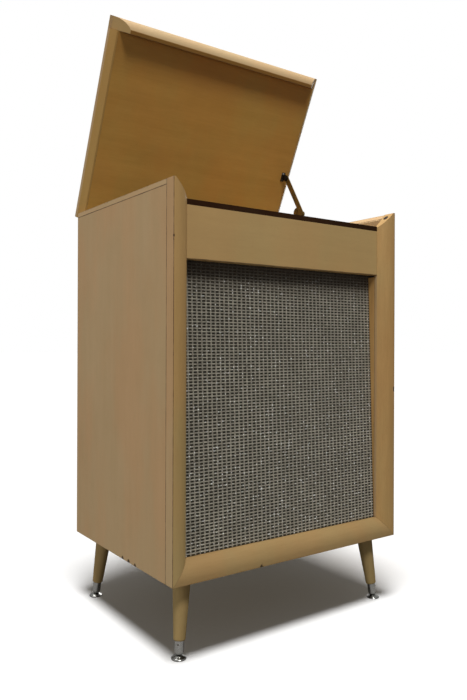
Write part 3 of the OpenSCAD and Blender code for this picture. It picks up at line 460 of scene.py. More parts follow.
class Finish:
    """What every finish does: it makes one Principled material and keeps it."""

    name: str

    def material(self) -> bpy.types.Material:
        """Makes the material, on the first call.

        Returns:
            The material.
        """
        found = bpy.data.materials.get("finish_" + self.name)
        if found:
            return found
        made = bpy.data.materials.new("finish_" + self.name)
        made.use_nodes = True
        made.node_tree.nodes.clear()
        g = Graph(made.node_tree)
        shader = g.add("ShaderNodeBsdfPrincipled", self.surface(g, g.add("ShaderNodeTexCoord")["Object"]))
        g.add("ShaderNodeOutputMaterial", {0: shader[0]})
        return made

    def surface(self, g: Graph, place: Wire) -> dict[str, object]:
        """Works out the shader's inputs by name, from the object's own coordinates."""
        raise NotImplementedError


@dataclass(frozen=True)
class Zone:
    """The part of the lid beyond a height of the closed lid, with other tones there: the lid's own outer face on the
    lid, and painted shade on the moulding's underside.
    """

    at_mm: float
    above: bool
    tones: Tones


@dataclass(frozen=True)
class Lacquered(Finish):
    """Toned wood under satin lacquer."""

    name: str
    light: Colour
    dark: Colour
    grain: Grain = Grain.UPRIGHT
    lean: float = 0.0
    figure: float = 0.45
    pores: float = 0.25
    drift: float = 0.12
    sheen: float = 0.48
    shine: float = 0.22
    edge: Colour = (0.16, 0.09, 0.04)
    edge_amount: float = 0.35
    nicks: float = 0.8
    seed: float = 0.0
    # Heights in metres over which a painted shadow of the lid's lip darkens the wood.
    painted_lip_shadow: Pair | None = None
    zone: Zone | None = None
    flank: Tones | None = None
    flank_from: float = 0.85
    seams: tuple[tuple[Point, float], ...] = ()
    chips: tuple[tuple[Point, float], ...] = ()

    def surface(self, g: Graph, place: Wire) -> dict[str, object]:
        """Works out the wood.

        Args:
            g: The material's graph.
            place: The object's own coordinates.

        Returns:
            The shader's inputs by name.
        """
        light, dark = self._tones(g, place)
        along = g.mapped(place, self.grain.value, (self.seed, self.seed * 0.7, 0.0), self.lean, "TEXTURE")
        around = g.mapped(place, (1.0, 1.0, 0.35), (self.seed, self.seed, 0.0))
        wood = g.use(EFFECTS.timber, Place=along, Around=around, Light=light, Dark=dark, Figure=self.figure,
                     Pores=self.pores, Drift=self.drift)
        arris = g.use(EFFECTS.arris, Place=place, Radius=0.0011, Nicks=self.nicks)
        grime_and_shade = g.use(EFFECTS.grime_and_shade, Place=place, Reach=0.006)
        edge = rgba(self.edge)
        seams = [g.use(EFFECTS.seam, Place=place, Axis=axis, At=at) for axis, at in self.seams]
        chips = [g.use(EFFECTS.chip, Place=place, Centre=tuple(spot(*centre)), Size=size * MM)
                 for centre, size in self.chips]
        # The corner mask lays painted shade, partly dirt, in the wood's hollows and joints.
        colour = g.coats(wood["Color"], (arris["Edge"] * self.edge_amount, edge), (arris["Nick"], edge),
                         (grime_and_shade["Corner"] * 0.7, edge), (grime_and_shade["Smudge"] * 0.05, SMUDGE_TONE),
                         *((seam["Line"], edge) for seam in seams), *((chip["Chip"], CHIP_TONE) for chip in chips))
        return {"Base Color": colour, "Roughness": wood["Roughness"] + self.sheen + grime_and_shade["Smudge"] * 0.08,
                "Normal": g.bump(wood["Height"], 0.00012, arris["Normal"]), "Specular IOR Level": self.shine}

    def _tones(self, g: Graph, place: Wire) -> tuple[object, object]:
        """Finds the wood's two tones: its own, or others under a painted shadow of the lid's lip, on its flanks and in
        its zone.

        Args:
            g: The material's graph.
            place: The object's own coordinates.

        Returns:
            The light tone and the dark one.
        """
        light, dark = rgba(self.light), rgba(self.dark)
        # Painted shadow: the lid's face darkens towards its lip, where the lip's shadow falls.
        if self.painted_lip_shadow:
            wear_and_shade = g.remap(g.axes(place)["Z"], *self.painted_lip_shadow, 0.0, 0.3)
            light, dark = (g.mix(wear_and_shade, tone, LIP_SHADOW_TONE) for tone in (light, dark))
        parts = []
        if self.flank:
            sideways = abs(g.axes(g.facing())["X"])
            parts.append((g.remap(sideways, self.flank_from, self.flank_from + 0.1), self.flank))
        if self.zone:
            up = lid_way(UP if self.zone.above else -UP)
            away = g.vector("SUBTRACT", place, tuple(on_lid(0.0, 200.0, self.zone.at_mm)))
            beyond = g.vector("DOT_PRODUCT", away, tuple(up))
            parts.append((g.remap(beyond, -0.0005, 0.0005), self.zone.tones))
        for mask, tones in parts:
            light, dark = g.mix(mask, light, rgba(tones[0])), g.mix(mask, dark, rgba(tones[1]))
        return light, dark


@dataclass(frozen=True)
class Board(Finish):
    """Bare plywood or pressed board."""

    name: str
    light: Colour
    dark: Colour
    layered: bool = True

    def surface(self, g: Graph, place: Wire) -> dict[str, object]:
        """Works out the board.

        Args:
            g: The material's graph.
            place: The object's own coordinates.

        Returns:
            The shader's inputs by name.
        """
        fibre = g.use(EFFECTS.plies, Place=place)["Fibre"]
        along = g.mapped(place, (0.1, 1.0, 1.0)) if self.layered else place
        wood = g.use(EFFECTS.timber, Place=along, Around=place, Light=rgba(self.light), Dark=rgba(self.dark),
                     Figure=0.7 if self.layered else 0.15, Pores=0.3, Drift=0.2)
        damp = g.noise(place, 5.0, 5.0, 0.65).swing(0.9)
        grime_and_shade = g.use(EFFECTS.grime_and_shade, Place=place, Reach=0.03)
        # The corner mask lays near-black painted shade, partly dirt, in the board's hollows and joints.
        colour = g.coats(wood["Color"], ((fibre.swing(1.3) + damp + 0.35).held(), rgba(self.dark)),
                         (grime_and_shade["Corner"] * 0.5, (0.03, 0.022, 0.015, 1.0)))
        return {"Base Color": colour, "Roughness": wood["Roughness"] + 0.62, "Normal": g.bump(fibre, 0.0002)}


@dataclass(frozen=True)
class Metal(Finish):
    """Bare or plated metal."""

    name: str
    colour: Colour
    tarnish: Colour
    roughness: float = 0.25
    spread: float = 0.15
    tarnished: float = 0.3
    lines: float = 0.00003
    stretch: Point = (1.0, 1.0, 1.0)

    def surface(self, g: Graph, place: Wire) -> dict[str, object]:
        """Works out the metal.

        Args:
            g: The material's graph.
            place: The object's own coordinates.

        Returns:
            The shader's inputs by name.
        """
        brush = g.use(EFFECTS.brushing, Place=g.mapped(place, self.stretch))
        arris = g.use(EFFECTS.arris, Place=place, Radius=0.0004, Nicks=0.3)
        grime_and_shade = g.use(EFFECTS.grime_and_shade, Place=place, Reach=0.008)
        spoiled = brush["Tarnish"] * self.tarnished
        dull = rgba(self.tarnish)
        colour = g.coats(g.mix(spoiled, rgba(self.colour), dull), (grime_and_shade["Corner"] * 0.55, dull))
        rough = brush["Lines"] * self.spread + self.roughness + spoiled * 0.3 + brush["Scratch"] * 0.1
        return {"Base Color": colour, "Metallic": 1.0, "Roughness": rough,
                "Normal": g.bump(brush["Lines"], self.lines, arris["Normal"])}


@dataclass(frozen=True)
class Coated(Finish):
    """Paint, plastic, rubber, felt or paper: one colour that varies a little, over a fine texture."""

    name: str
    colour: Colour
    wear_and_shade: Colour
    roughness: float = 0.4
    texture: float = 400.0
    depth: float = 0.00005
    variety: float = 0.25
    coat: float = 0.0
    clear: float = 0.0

    def surface(self, g: Graph, place: Wire) -> dict[str, object]:
        """Works out the coat.

        Args:
            g: The material's graph.
            place: The object's own coordinates.

        Returns:
            The shader's inputs by name.
        """
        cells = g.use(EFFECTS.dimples, Place=place, Scale=self.texture)
        arris = g.use(EFFECTS.arris, Place=place, Radius=0.0006, Nicks=0.3)
        grime_and_shade = g.use(EFFECTS.grime_and_shade, Place=place, Reach=0.012)
        deep = rgba(tuple(0.72 * c for c in self.colour))
        tone = (cells["Tone"].swing(3.0 * self.variety) + 0.5).held()
        # The corner mask lays near-black painted shade, partly dirt, in the coat's hollows.
        colour = g.coats(g.mix(tone, deep, rgba(self.colour)), (arris["Nick"], rgba(self.wear_and_shade)),
                         (grime_and_shade["Corner"] * 0.45, (0.03, 0.026, 0.02, 1.0)))
        return {"Base Color": colour, "Roughness": grime_and_shade["Smudge"] * 0.12 + self.roughness,
                "Normal": g.bump(cells["Height"], self.depth, arris["Normal"]), "Coat Weight": self.coat,
                "Coat Roughness": 0.12, "Transmission Weight": self.clear}


@dataclass(frozen=True)
class Yarn(Finish):
    """Twisted yarn with a broken metallic thread in it whose glints are painted as near-white spots, and a painted
    shadow of the fascia across the top of the grille.
    """

    name: str
    light: Colour
    dark: Colour
    glint: float = 0.1
    ply: float = 900.0
    fading: Pair = (0.2, 0.62)
    # Heights in metres over which a painted shadow of the fascia darkens the yarn, and how dark it gets at the top.
    fascia_shade_heights: Pair = (0.672, 0.75)
    fascia_shade_depth: float = 0.93

    def surface(self, g: Graph, place: Wire) -> dict[str, object]:
        """Works out the yarn.

        Args:
            g: The material's graph.
            place: The object's own coordinates.

        Returns:
            The shader's inputs by name.
        """
        height = g.axes(place)["Z"]
        fluff = g.noise(place, self.ply, 4.0, 0.7)
        patch = g.noise(place, 22.0, 3.0) * 0.4 + g.noise(place, 210.0, 2.0)
        tone = fluff.swing(1.1) + (patch - 0.7) * 1.5 + 0.5
        # Painted shadow: the yarn darkens towards the fascia above it, where the fascia's shadow falls.
        under_fascia_shade = g.remap(height, *self.fascia_shade_heights) * self.fascia_shade_depth
        colour = g.coats(g.mix(tone.held(), rgba(self.dark), rgba(self.light)), (under_fascia_shade, FASCIA_SHADE_TONE))
        # Painted glints: some cells of the metallic thread are coloured near white, fewer of them higher up and none
        # under the fascia's painted shadow.
        cells = g.add("ShaderNodeTexVoronoi", {"Vector": place, "Scale": 320.0}, feature="F1")
        share = g.remap(height, *self.fading, self.glint, self.glint * 0.45)
        picked = g.math("LESS_THAN", g.axes(cells["Color"])["X"], share)
        spark = picked * g.math("LESS_THAN", cells["Distance"], 0.5) * (1.0 - under_fascia_shade)
        return {"Base Color": g.mix(spark, colour, (0.98, 0.98, 0.95, 1.0)), "Metallic": spark * 0.35,
                "Roughness": g.remap(spark, 0.0, 1.0, 0.85, 0.4), "Normal": g.bump(fluff, 0.00035),
                "Sheen Weight": 0.15}


@dataclass(frozen=True)
class Ground(Finish):
    """The pale studio floor, white to the camera in full light and a softer grey as a source of bounced light."""

    name: str = "floor_paper"
    bounce: float = 0.10
    mirrored: float = 0.3

    def surface(self, g: Graph, place: Wire) -> dict[str, object]:
        """Works out the floor.

        Args:
            g: The material's graph.
            place: The object's own coordinates.

        Returns:
            The shader's inputs by name.
        """
        speck = g.noise(place, 90.0, 4.0, 0.6)
        path = g.add("ShaderNodeLightPath")
        seen = g.math("MAXIMUM", path["Is Camera Ray"], path["Is Transmission Ray"])
        paper = g.mix(speck, (0.95, 0.95, 0.95, 1.0), (0.99, 0.99, 0.99, 1.0))
        unseen = g.mix(path["Is Glossy Ray"], rgba((self.bounce,) * 3), rgba((self.mirrored,) * 3))
        return {"Base Color": g.mix(seen, unseen, paper), "Roughness": g.remap(speck, 0.3, 0.7, 0.85, 0.95),
                "Specular IOR Level": 0.1}


SEAM_BACK = ((0.0, 1.0, 0.0), -0.2051)
SEAM_TOP = ((0.0, 0.0, 1.0), 0.8812)
FASCIA_FOOT = ((0.0, 0.0, 1.0), 0.7475)
ARRIS_FRONT = ((0.0, 1.0, 0.0), -0.2311)
ARRIS_LEFT = ((1.0, 0.0, 0.0), -0.295)
ARRIS_RIGHT = ((1.0, 0.0, 0.0), 0.295)
TAN = ((0.70, 0.465, 0.25), (0.55, 0.355, 0.175))
OLIVE = ((0.64, 0.42, 0.18), (0.50, 0.32, 0.12))
GOLD = ((0.67, 0.415, 0.165), (0.46, 0.27, 0.10))
LID_FACE = Zone(890.0, True, TAN)

SIDE = Lacquered("side_veneer", *TAN, figure=0.32, drift=0.22, seams=(SEAM_BACK, SEAM_TOP), chips=(
    ((-295.0, 202.6, 148.5), 5.6), ((-295.0, 175.4, 148.5), 6.2), ((-295.0, 146.9, 148.5), 5.0)))
SIDE_RIGHT = Lacquered("side_veneer_right", *TAN, figure=0.32, drift=0.22, seed=0.61, seams=(SEAM_BACK, SEAM_TOP))
LIPPING = Lacquered("side_lipping_wood", (0.74, 0.50, 0.27), (0.60, 0.40, 0.20), grain=Grain.DEEP, seed=0.2,
                    seams=(SEAM_BACK, SEAM_TOP))
STILE_LEFT = Lacquered("stile_wood_left", *OLIVE, figure=0.5, drift=0.3, seed=0.35, flank=TAN,
                       seams=(SEAM_BACK, ARRIS_FRONT, ARRIS_LEFT),
                       chips=(((-295.0, 0.0, 784.2), 3.0), ((-295.0, 0.0, 777.0), 1.8)))
STILE_RIGHT = Lacquered("stile_wood_right", *GOLD, figure=0.6, drift=0.25, seed=1.1, flank=TAN,
                        seams=(SEAM_BACK, ARRIS_FRONT, ARRIS_RIGHT),
                        chips=(((294.0, 0.0, 487.0), 4.0), ((294.0, 0.0, 482.0), 3.5)))
RAIL = Lacquered("rail_wood", (0.52, 0.345, 0.15), (0.39, 0.245, 0.098), grain=Grain.ACROSS, figure=0.5, drift=0.2,
                 seed=0.8, chips=(((-92.0, 2.0, 148.5), 5.2),))
FASCIA = Lacquered("fascia_veneer", (0.64, 0.425, 0.182), (0.51, 0.325, 0.128), grain=Grain.ACROSS, figure=0.4,
                   drift=0.15, seams=(FASCIA_FOOT,))
STRIP = Lacquered("fascia_edge_stain", (0.045, 0.016, 0.005), (0.02, 0.008, 0.003), grain=Grain.ACROSS, sheen=0.75,
                  shine=0.08, edge=(0.12, 0.06, 0.02))
JAMB = Lacquered("jamb_wood", (0.74, 0.44, 0.17), (0.52, 0.29, 0.09), figure=0.7, seed=0.3)
# The lid's face carries a painted shadow of its lip between 1.165 m and 1.235 m high.
LID = Lacquered("lid_veneer", (0.69, 0.38, 0.093), (0.52, 0.27, 0.058), grain=Grain.ACROSS, lean=-LID_OPEN,
                figure=0.55, drift=0.25, seed=0.4, painted_lip_shadow=(1.165, 1.235), zone=LID_FACE)
LID_END = Lacquered("lid_end_wood", (0.60, 0.35, 0.11), (0.48, 0.27, 0.075), grain=Grain.DEEP, lean=-LID_OPEN,
                    drift=0.2, edge_amount=0.15, seed=0.9, zone=LID_FACE)
# Below 860.6 mm on the closed lid, the moulding's underside return is painted darker brown as painted shade.
LIP = Lacquered("lid_moulding_wood", (0.68, 0.47, 0.25), (0.56, 0.38, 0.19), grain=Grain.ACROSS, figure=0.3,
                edge_amount=0.12, seed=1.7, flank=((0.56, 0.37, 0.155), (0.45, 0.29, 0.11)), flank_from=0.55,
                zone=Zone(860.6, False, ((0.40, 0.20, 0.045), (0.28, 0.13, 0.028))))
LEG = Lacquered("leg_wood", (0.53, 0.375, 0.165), (0.375, 0.25, 0.097), figure=0.6, shine=0.12, seed=0.5)
INNER = Lacquered("inner_wood", (0.42, 0.25, 0.11), (0.28, 0.16, 0.065), grain=Grain.ACROSS, sheen=0.6, nicks=0.3)
DECK = Lacquered("deck_veneer", (0.56, 0.35, 0.13), (0.42, 0.25, 0.085), grain=Grain.ACROSS, figure=0.5)
PLY = Board("plywood", (0.42, 0.27, 0.14), (0.26, 0.16, 0.08))
HARDBOARD = Board("pressed_board", (0.17, 0.095, 0.047), (0.06, 0.033, 0.016), layered=False)
CHROME = Metal("chrome", (0.50, 0.49, 0.46), (0.24, 0.22, 0.18), roughness=0.16, spread=0.05, lines=0.000008)
NICKEL = Metal("glide_nickel", (0.34, 0.34, 0.32), (0.10, 0.09, 0.08), roughness=0.2, spread=0.05, lines=0.000005)
STEEL = Metal("zinc_steel", (0.52, 0.51, 0.48), (0.24, 0.2, 0.16), roughness=0.35, stretch=(1.0, 1.0, 0.1))
BRASS = Metal("aged_brass", (0.56, 0.38, 0.16), (0.2, 0.12, 0.06), roughness=0.32, tarnished=0.7)
GOLD_PLATE = Metal("brushed_gold", (0.74, 0.6, 0.36), (0.4, 0.3, 0.18), roughness=0.3, spread=0.3,
                   lines=0.00006, stretch=(1.0, 0.04, 1.0))
AMP_STEEL = Metal("chassis_steel", (0.5, 0.5, 0.47), (0.25, 0.2, 0.14), roughness=0.4, tarnished=0.6)
BRONZE = Metal("dark_bronze", (0.06, 0.045, 0.03), (0.025, 0.018, 0.014), roughness=0.45, tarnished=0.8)
STAY_BRASS = Metal("stay_brass", (0.34, 0.225, 0.07), (0.09, 0.055, 0.02), roughness=0.42, tarnished=0.9)
DARK_STEEL = Coated("black_steel", (0.035, 0.036, 0.038), (0.3, 0.28, 0.26), roughness=0.42)
RUBBER = Coated("rubber", (0.035, 0.032, 0.03), (0.09, 0.085, 0.08), roughness=0.7, texture=1500.0)
FELT = Coated("felt", (0.04, 0.024, 0.016), (0.1, 0.08, 0.07), roughness=0.95, texture=2600.0, depth=0.0002)
PAPER = Coated("cone_paper", (0.05, 0.043, 0.037), (0.1, 0.09, 0.08), roughness=0.9, texture=1800.0, depth=0.0001)
CREAM = Coated("cream_plastic", (0.74, 0.64, 0.45), (0.5, 0.4, 0.25), roughness=0.25, texture=200.0,
               depth=0.00001, coat=0.4, variety=0.08)
DARK_PLASTIC = Coated("dark_plastic", (0.03, 0.026, 0.024), (0.1, 0.09, 0.08), roughness=0.3, coat=0.3)
HAMMERED = Coated("hammered_paint", (0.52, 0.45, 0.33), (0.28, 0.25, 0.2), roughness=0.32, texture=420.0,
                  depth=0.0003, coat=0.3)
PLATTER_PAINT = Coated("platter_paint", (0.17, 0.12, 0.08), (0.4, 0.36, 0.3), roughness=0.35, texture=420.0,
                       depth=0.0003, coat=0.2)
GLASS = Coated("tube_glass", (0.86, 0.87, 0.84), (0.5, 0.5, 0.48), roughness=0.06, texture=60.0, depth=0.00001,
               variety=0.05, clear=0.8)
DIAL_PAINT = Coated("dial_paint", (0.05, 0.035, 0.025), (0.2, 0.15, 0.1), roughness=0.55)
CLOTH = Yarn("grille_ground", (0.045, 0.038, 0.022), (0.02, 0.016, 0.009), glint=0.0, ply=1400.0)
WARP = Yarn("grille_warp", (0.55, 0.505, 0.40), (0.21, 0.19, 0.145), glint=0.07)
WEFT = Yarn("grille_weft", (0.67, 0.615, 0.49), (0.25, 0.225, 0.17), glint=0.09)


def linked(name: str, data: bpy.types.ID | None) -> bpy.types.Object:
    """Puts a new object in the scene.

    Args:
        name: Its name.
        data: Its mesh, text, camera or light.

    Returns:
        The object, at the origin.
    """
    made = bpy.data.objects.new(name, data)
    bpy.context.scene.collection.objects.link(made)
    return made


def as_mesh(thing: bpy.types.Object) -> bpy.types.Mesh:
    """Turns a finished object into a plain mesh and removes the object.

    Args:
        thing: The object, with its modifiers or its text.

    Returns:
        The mesh.
    """
    bpy.context.view_layer.update()
    mesh = bpy.data.meshes.new_from_object(thing.evaluated_get(bpy.context.evaluated_depsgraph_get()))
    thing.modifiers.clear()
    bpy.data.objects.remove(thing)
    return mesh


def piece(name: str, mesh: bpy.types.Mesh, body: str, finish: Finish) -> bpy.types.Object:
    """Puts a mesh in the scene as a piece of the console.

    Args:
        name: The piece's name.
        mesh: Its mesh, in place in the scene's metres.
        body: The CAD body it moves with.
        finish: Its finish.

    Returns:
        The object.
    """
    mesh.name = name
    thing = linked(name, mesh)
    mesh.materials.clear()
    mesh.materials.append(finish.material())
    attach(thing, body)
    LOG.info("%s on %s: %d faces", name, body, len(mesh.polygons))
    return thing


def mesh_of(name: str, points: Sequence, faces: Sequence, smooth: bool = True) -> bpy.types.Mesh:
    """Makes a mesh with its doubles merged and its normals turned outwards.

    Args:
        name: The mesh's name.
        points: Its points.
        faces: Its faces, as numbers of points.
        smooth: Whether it is shaded smooth.

    Returns:
        The mesh.
    """
    mesh = bpy.data.meshes.new(name)
    mesh.from_pydata([tuple(p) for p in points], [], [tuple(f) for f in faces])
    build = bmesh.new()
    build.from_mesh(mesh)
    bmesh.ops.remove_doubles(build, verts=build.verts, dist=1e-7)
    bmesh.ops.recalc_face_normals(build, faces=build.faces)
    build.to_mesh(mesh)
    build.free()
    for face in mesh.polygons:
        face.use_smooth = smooth
    return mesh


def turned(name: str, profile: Sequence[Pair], centre: Vector, steps: int = 96) -> bpy.types.Mesh:
    """Turns a flat-shaded mesh about a vertical axis.

    Args:
        name: The mesh's name.
        profile: Closed outline as radius and height in millimetres, with every radius above 0.
        centre: Where the axis stands.
        steps: Sides around the axis.

    Returns:
        The mesh.
    """
    points, faces = [], []
    count = len(profile)
    for step in range(steps):
        angle = math.tau * step / steps
        for radius, height in profile:
            points.append(centre + Vector((radius * math.cos(angle), radius * math.sin(angle), height)) * MM)
    for step in range(steps):
        here, after = step * count, (step + 1) % steps * count
        for k in range(count):
            follow = (k + 1) % count
            faces.append((here + k, after + k, after + follow, here + follow))
    return mesh_of(name, points, faces, smooth=False)


def grown(name: str, base: bpy.types.Mesh, tree: NodeTree, **values: object) -> bpy.types.Mesh:
    """Runs a geometry tree over a mesh.

    Args:
        name: The result's name.
        base: The mesh that the tree starts from.
        tree: The geometry tree.
        values: The tree's inputs by name.

    Returns:
        The plain mesh that the tree makes.
    """
    holder = linked(name + "_base", base)
    modifier = holder.modifiers.new("grow", "NODES")
    modifier.node_group = tree
    for item in tree.interface.items_tree:
        if item.in_out == "INPUT" and item.name in values:
            modifier[item.identifier] = values[item.name]
    return as_mesh(holder)


class Growth:
    """Geometry trees for what repeats on the console, each built once."""

    def __init__(self) -> None:
        """Builds the trees."""
        self.weave = self._weave()
        self.heads = self._heads()

    def _weave(self) -> NodeTree:
        """Makes parallel yarns in bands of two, each passing over and under the bands that cross it.

        The yarns run along Z and the bands are set out along X, about the plane Y = 0.

        Returns:
            The tree.
        """
        g, i = Graph.group(
            "woven_bands", Trade.SHAPES, Geometry="Geometry", Bands=10, Pitch=0.01, Pair=0.002, Length=0.1,
            Crossing=0.006, Steps=20, Lift=0.0005, Radius=0.0008, Sides=5, Wander=0.0003, Phase=0.0,
            Material="Material")
        row = g.add("GeometryNodeMeshLine", {"Count": i["Bands"] * 2.0, "Offset": ORIGIN})
        index = g.add("GeometryNodeInputIndex")[0]
        band = g.math("FLOOR", index / 2.0)
        twin = g.math("MODULO", index, 2.0) - 0.5
        across = (band - (i["Bands"] - 1.0) / 2.0) * i["Pitch"] + twin * i["Pair"]
        set_out = g.add("GeometryNodeSetPosition", {"Geometry": row[0], "Position": g.joined(across)})
        line = g.add("GeometryNodeCurvePrimitiveLine", {"Start": ORIGIN, "End": g.joined(z=i["Length"])})
        fine = g.add("GeometryNodeResampleCurve", {"Curve": line[0], "Count": i["Steps"]})
        many = g.add("GeometryNodeInstanceOnPoints", {"Points": set_out[0], "Instance": fine[0]})
        real = g.add("GeometryNodeRealizeInstances", {0: many[0]})
        here = g.add("GeometryNodeInputPosition")[0]
        axes = g.axes(here)
        turn = (axes["Z"] / i["Crossing"] + g.math("ROUND", axes["X"] / i["Pitch"])) * math.pi
        rise = g.math("COSINE", turn + i["Phase"]) * i["Lift"]
        drift = g.add("ShaderNodeTexNoise", {"Vector": here, "Scale": 130.0, "Detail": 2.0})["Color"]
        stray = g.vector("MULTIPLY", g.vector("SUBTRACT", drift, (0.5, 0.5, 0.5)), g.joined(i["Wander"], i["Wander"]))
        laid = g.add("GeometryNodeSetPosition", {"Geometry": real[0],
                                                 "Offset": g.vector("ADD", stray, g.joined(y=rise))})
        ring = g.add("GeometryNodeCurvePrimitiveCircle", {"Resolution": i["Sides"], "Radius": i["Radius"]})
        body = g.add("GeometryNodeCurveToMesh", {"Curve": laid[0], "Profile Curve": ring[0], "Fill Caps": True})
        return self._dressed(g, body, i["Material"])

    def _heads(self) -> NodeTree:
        """Makes a fastener's head on each point, along the point's axis: slotted, or plain where Slot is 0.

        Returns:
            The tree.
        """
        g, i = Graph.group("fastener_heads", Trade.SHAPES, Geometry="Geometry", Radius=0.003, Rise=0.001, Slot=0.0006,
                           Material="Material")

        def disc(top: float, foot: float) -> Wire:
            """A tapered disc half a rise thick, with its radii as shares of the head's."""
            return g.add("GeometryNodeMeshCone", {"Vertices": 20, "Radius Top": i["Radius"] * top,
                                                  "Radius Bottom": i["Radius"] * foot, "Depth": i["Rise"] * 0.5})[0]

        def raised(solid: Wire, share: float) -> Wire:
            """A solid lifted by a share of the rise."""
            return g.add("GeometryNodeTransform", {"Geometry": solid, "Translation": g.joined(z=i["Rise"] * share)})[0]

        both = g.add("GeometryNodeMeshBoolean", operation="UNION")
        for solid in (disc(0.9, 1.0), raised(disc(0.55, 0.9), 0.4999)):
            g.put(both.node.inputs["Mesh 2"], solid)
        bar = g.add("GeometryNodeMeshCube", {"Size": g.joined(i["Radius"] * 3.0, i["Slot"], i["Rise"])})
        cut = g.add("GeometryNodeMeshBoolean", {"Mesh 1": both[0], "Mesh 2": raised(bar[0], 1.05)},
                    operation="DIFFERENCE")
        way = g.add("GeometryNodeInputNamedAttribute", {"Name": "axis"}, data_type="FLOAT_VECTOR")
        turn = g.add("FunctionNodeAlignRotationToVector", {"Vector": way[0]}, axis="Z")
        spin = g.add("FunctionNodeRandomValue", {2: 0.0, 3: math.pi, "Seed": 7}, data_type="FLOAT")
        twist = g.add("FunctionNodeAxisAngleToRotation", {"Axis": tuple(UP), "Angle": spin[1]})
        aimed = g.add("FunctionNodeRotateRotation", {"Rotation": turn[0], "Rotate By": twist[0]},
                      rotation_space="LOCAL")
        many = g.add("GeometryNodeInstanceOnPoints", {"Points": i["Geometry"], "Instance": cut[0],
                                                      "Rotation": aimed[0]})
        return self._dressed(g, many, i["Material"])

    def _dressed(self, g: Graph, shape: Block, material: Wire) -> NodeTree:
        """Ends a tree with real geometry in its material.

        Args:
            g: The tree's graph.
            shape: The node that makes the shape.
            material: The material.

        Returns:
            The tree.
        """
        whole = g.add("GeometryNodeRealizeInstances", {0: shape[0]})
        dressed = g.add("GeometryNodeSetMaterial", {"Geometry": whole[0], "Material": material})
        return g.close(Geometry=dressed[0])


GROWTH = Growth()


@dataclass
class Fasteners:
    """A set of screw or nail heads that share a body, a size and a finish."""

    name: str
    body: str
    places: list[tuple[Vector, Vector]]
    radius_mm: float
    rise_mm: float
    slot_mm: float
    finish: Finish
    slot: str = "steel"

    def build(self) -> bpy.types.Object:
        """Makes the heads.

        Returns:
            The piece.
        """
        base = bpy.data.meshes.new(self.name + "_points")
        base.from_pydata([tuple(place) for place, _ in self.places], [], [])
        ways = base.attributes.new("axis", "FLOAT_VECTOR", "POINT")
        for item, (_, way) in zip(ways.data, self.places):
            item.vector = way
        mesh = grown(self.name, base, GROWTH.heads, Radius=self.radius_mm * MM, Rise=self.rise_mm * MM,
                     Slot=self.slot_mm * MM, Material=self.finish.material())
        return piece(self.name, mesh, self.body, self.finish)


class SubAssembly:
    """Pieces that are dressed and built together."""

    WEARS: ClassVar[dict[Finish, str]]

    def dress(self) -> None:
        """Gives each CAD node of the sub-assembly its finish."""
        for finish, nodes in self.WEARS.items():
            for name in nodes.split():
                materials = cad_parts[name].data.materials
                materials.clear()
                materials.append(finish.material())

    def build(self) -> None:
        """Makes the pieces that the CAD model doesn't have."""


@dataclass
class Legs(SubAssembly):
    """The legs, with the nail that holds each ferrule."""

    WEARS = {LEG: "leg_front_left leg_front_right leg_rear_left leg_rear_right", STEEL: "leg_plates",
             CHROME: "leg_ferrules",
             NICKEL: "glide_front_left glide_front_right glide_rear_left glide_rear_right"}

    foot_x_mm: float = 262.0
    foot_y_mm: float = 33.0
    splay: float = 15.5 / 147.0
    nail_z_mm: float = 27.5
    ferrule_r_mm: float = 9.1

    def build(self) -> None:
        """Makes the nails."""
        places = []
        shift = self.splay * self.nail_z_mm
        for sx in (-1, 1):
            for sy in (-1, 1):
                y = self.foot_y_mm + shift if sy < 0 else CASE_DEPTH - self.foot_y_mm - shift
                way = Vector((sx, sy, 0.0)).normalized()
                nail = spot(sx * (self.foot_x_mm - shift), y, self.nail_z_mm)
                places.append((nail + way * self.ferrule_r_mm * MM, way))
        Fasteners("ferrule_nails", "case", places, 1.6, 0.6, 0.0, BRONZE).build()


@dataclass
class Lid(SubAssembly):
    """The lid, its moulding and its hinges, with their screws."""

    WEARS = {LID: "lid_panel", LID_END: "lid_end_lippings", LIP: "lid_moulding", FELT: "lid_bumpers",
             BRASS: "hinge_case_leaves hinge_lid_leaves", STEEL: "hinge_pins"}

    hinges_mm: Pair = (-170.0, 170.0)
    screw_gap_mm: float = 64.0 / 3.0
    screw_y_mm: float = 431.0
    case_leaf_mm: float = 877.2
    lid_leaf_mm: float = 878.75
    screw_mm: Point = (1.95, 0.7, 0.5)

    def build(self) -> None:
        """Makes the hinges' screws."""
        rows = [x + k * self.screw_gap_mm for x in self.hinges_mm for k in (-1, 0, 1)]
        case = [(spot(x, self.screw_y_mm, self.case_leaf_mm), UP) for x in rows]
        lid = [(on_lid(x, self.screw_y_mm, self.lid_leaf_mm), lid_way(-UP)) for x in rows]
        Fasteners("hinge_case_screws", "case", case, *self.screw_mm, BRASS, "brass").build()
        Fasteners("hinge_lid_screws", "lid", lid, *self.screw_mm, BRASS, "brass").build()


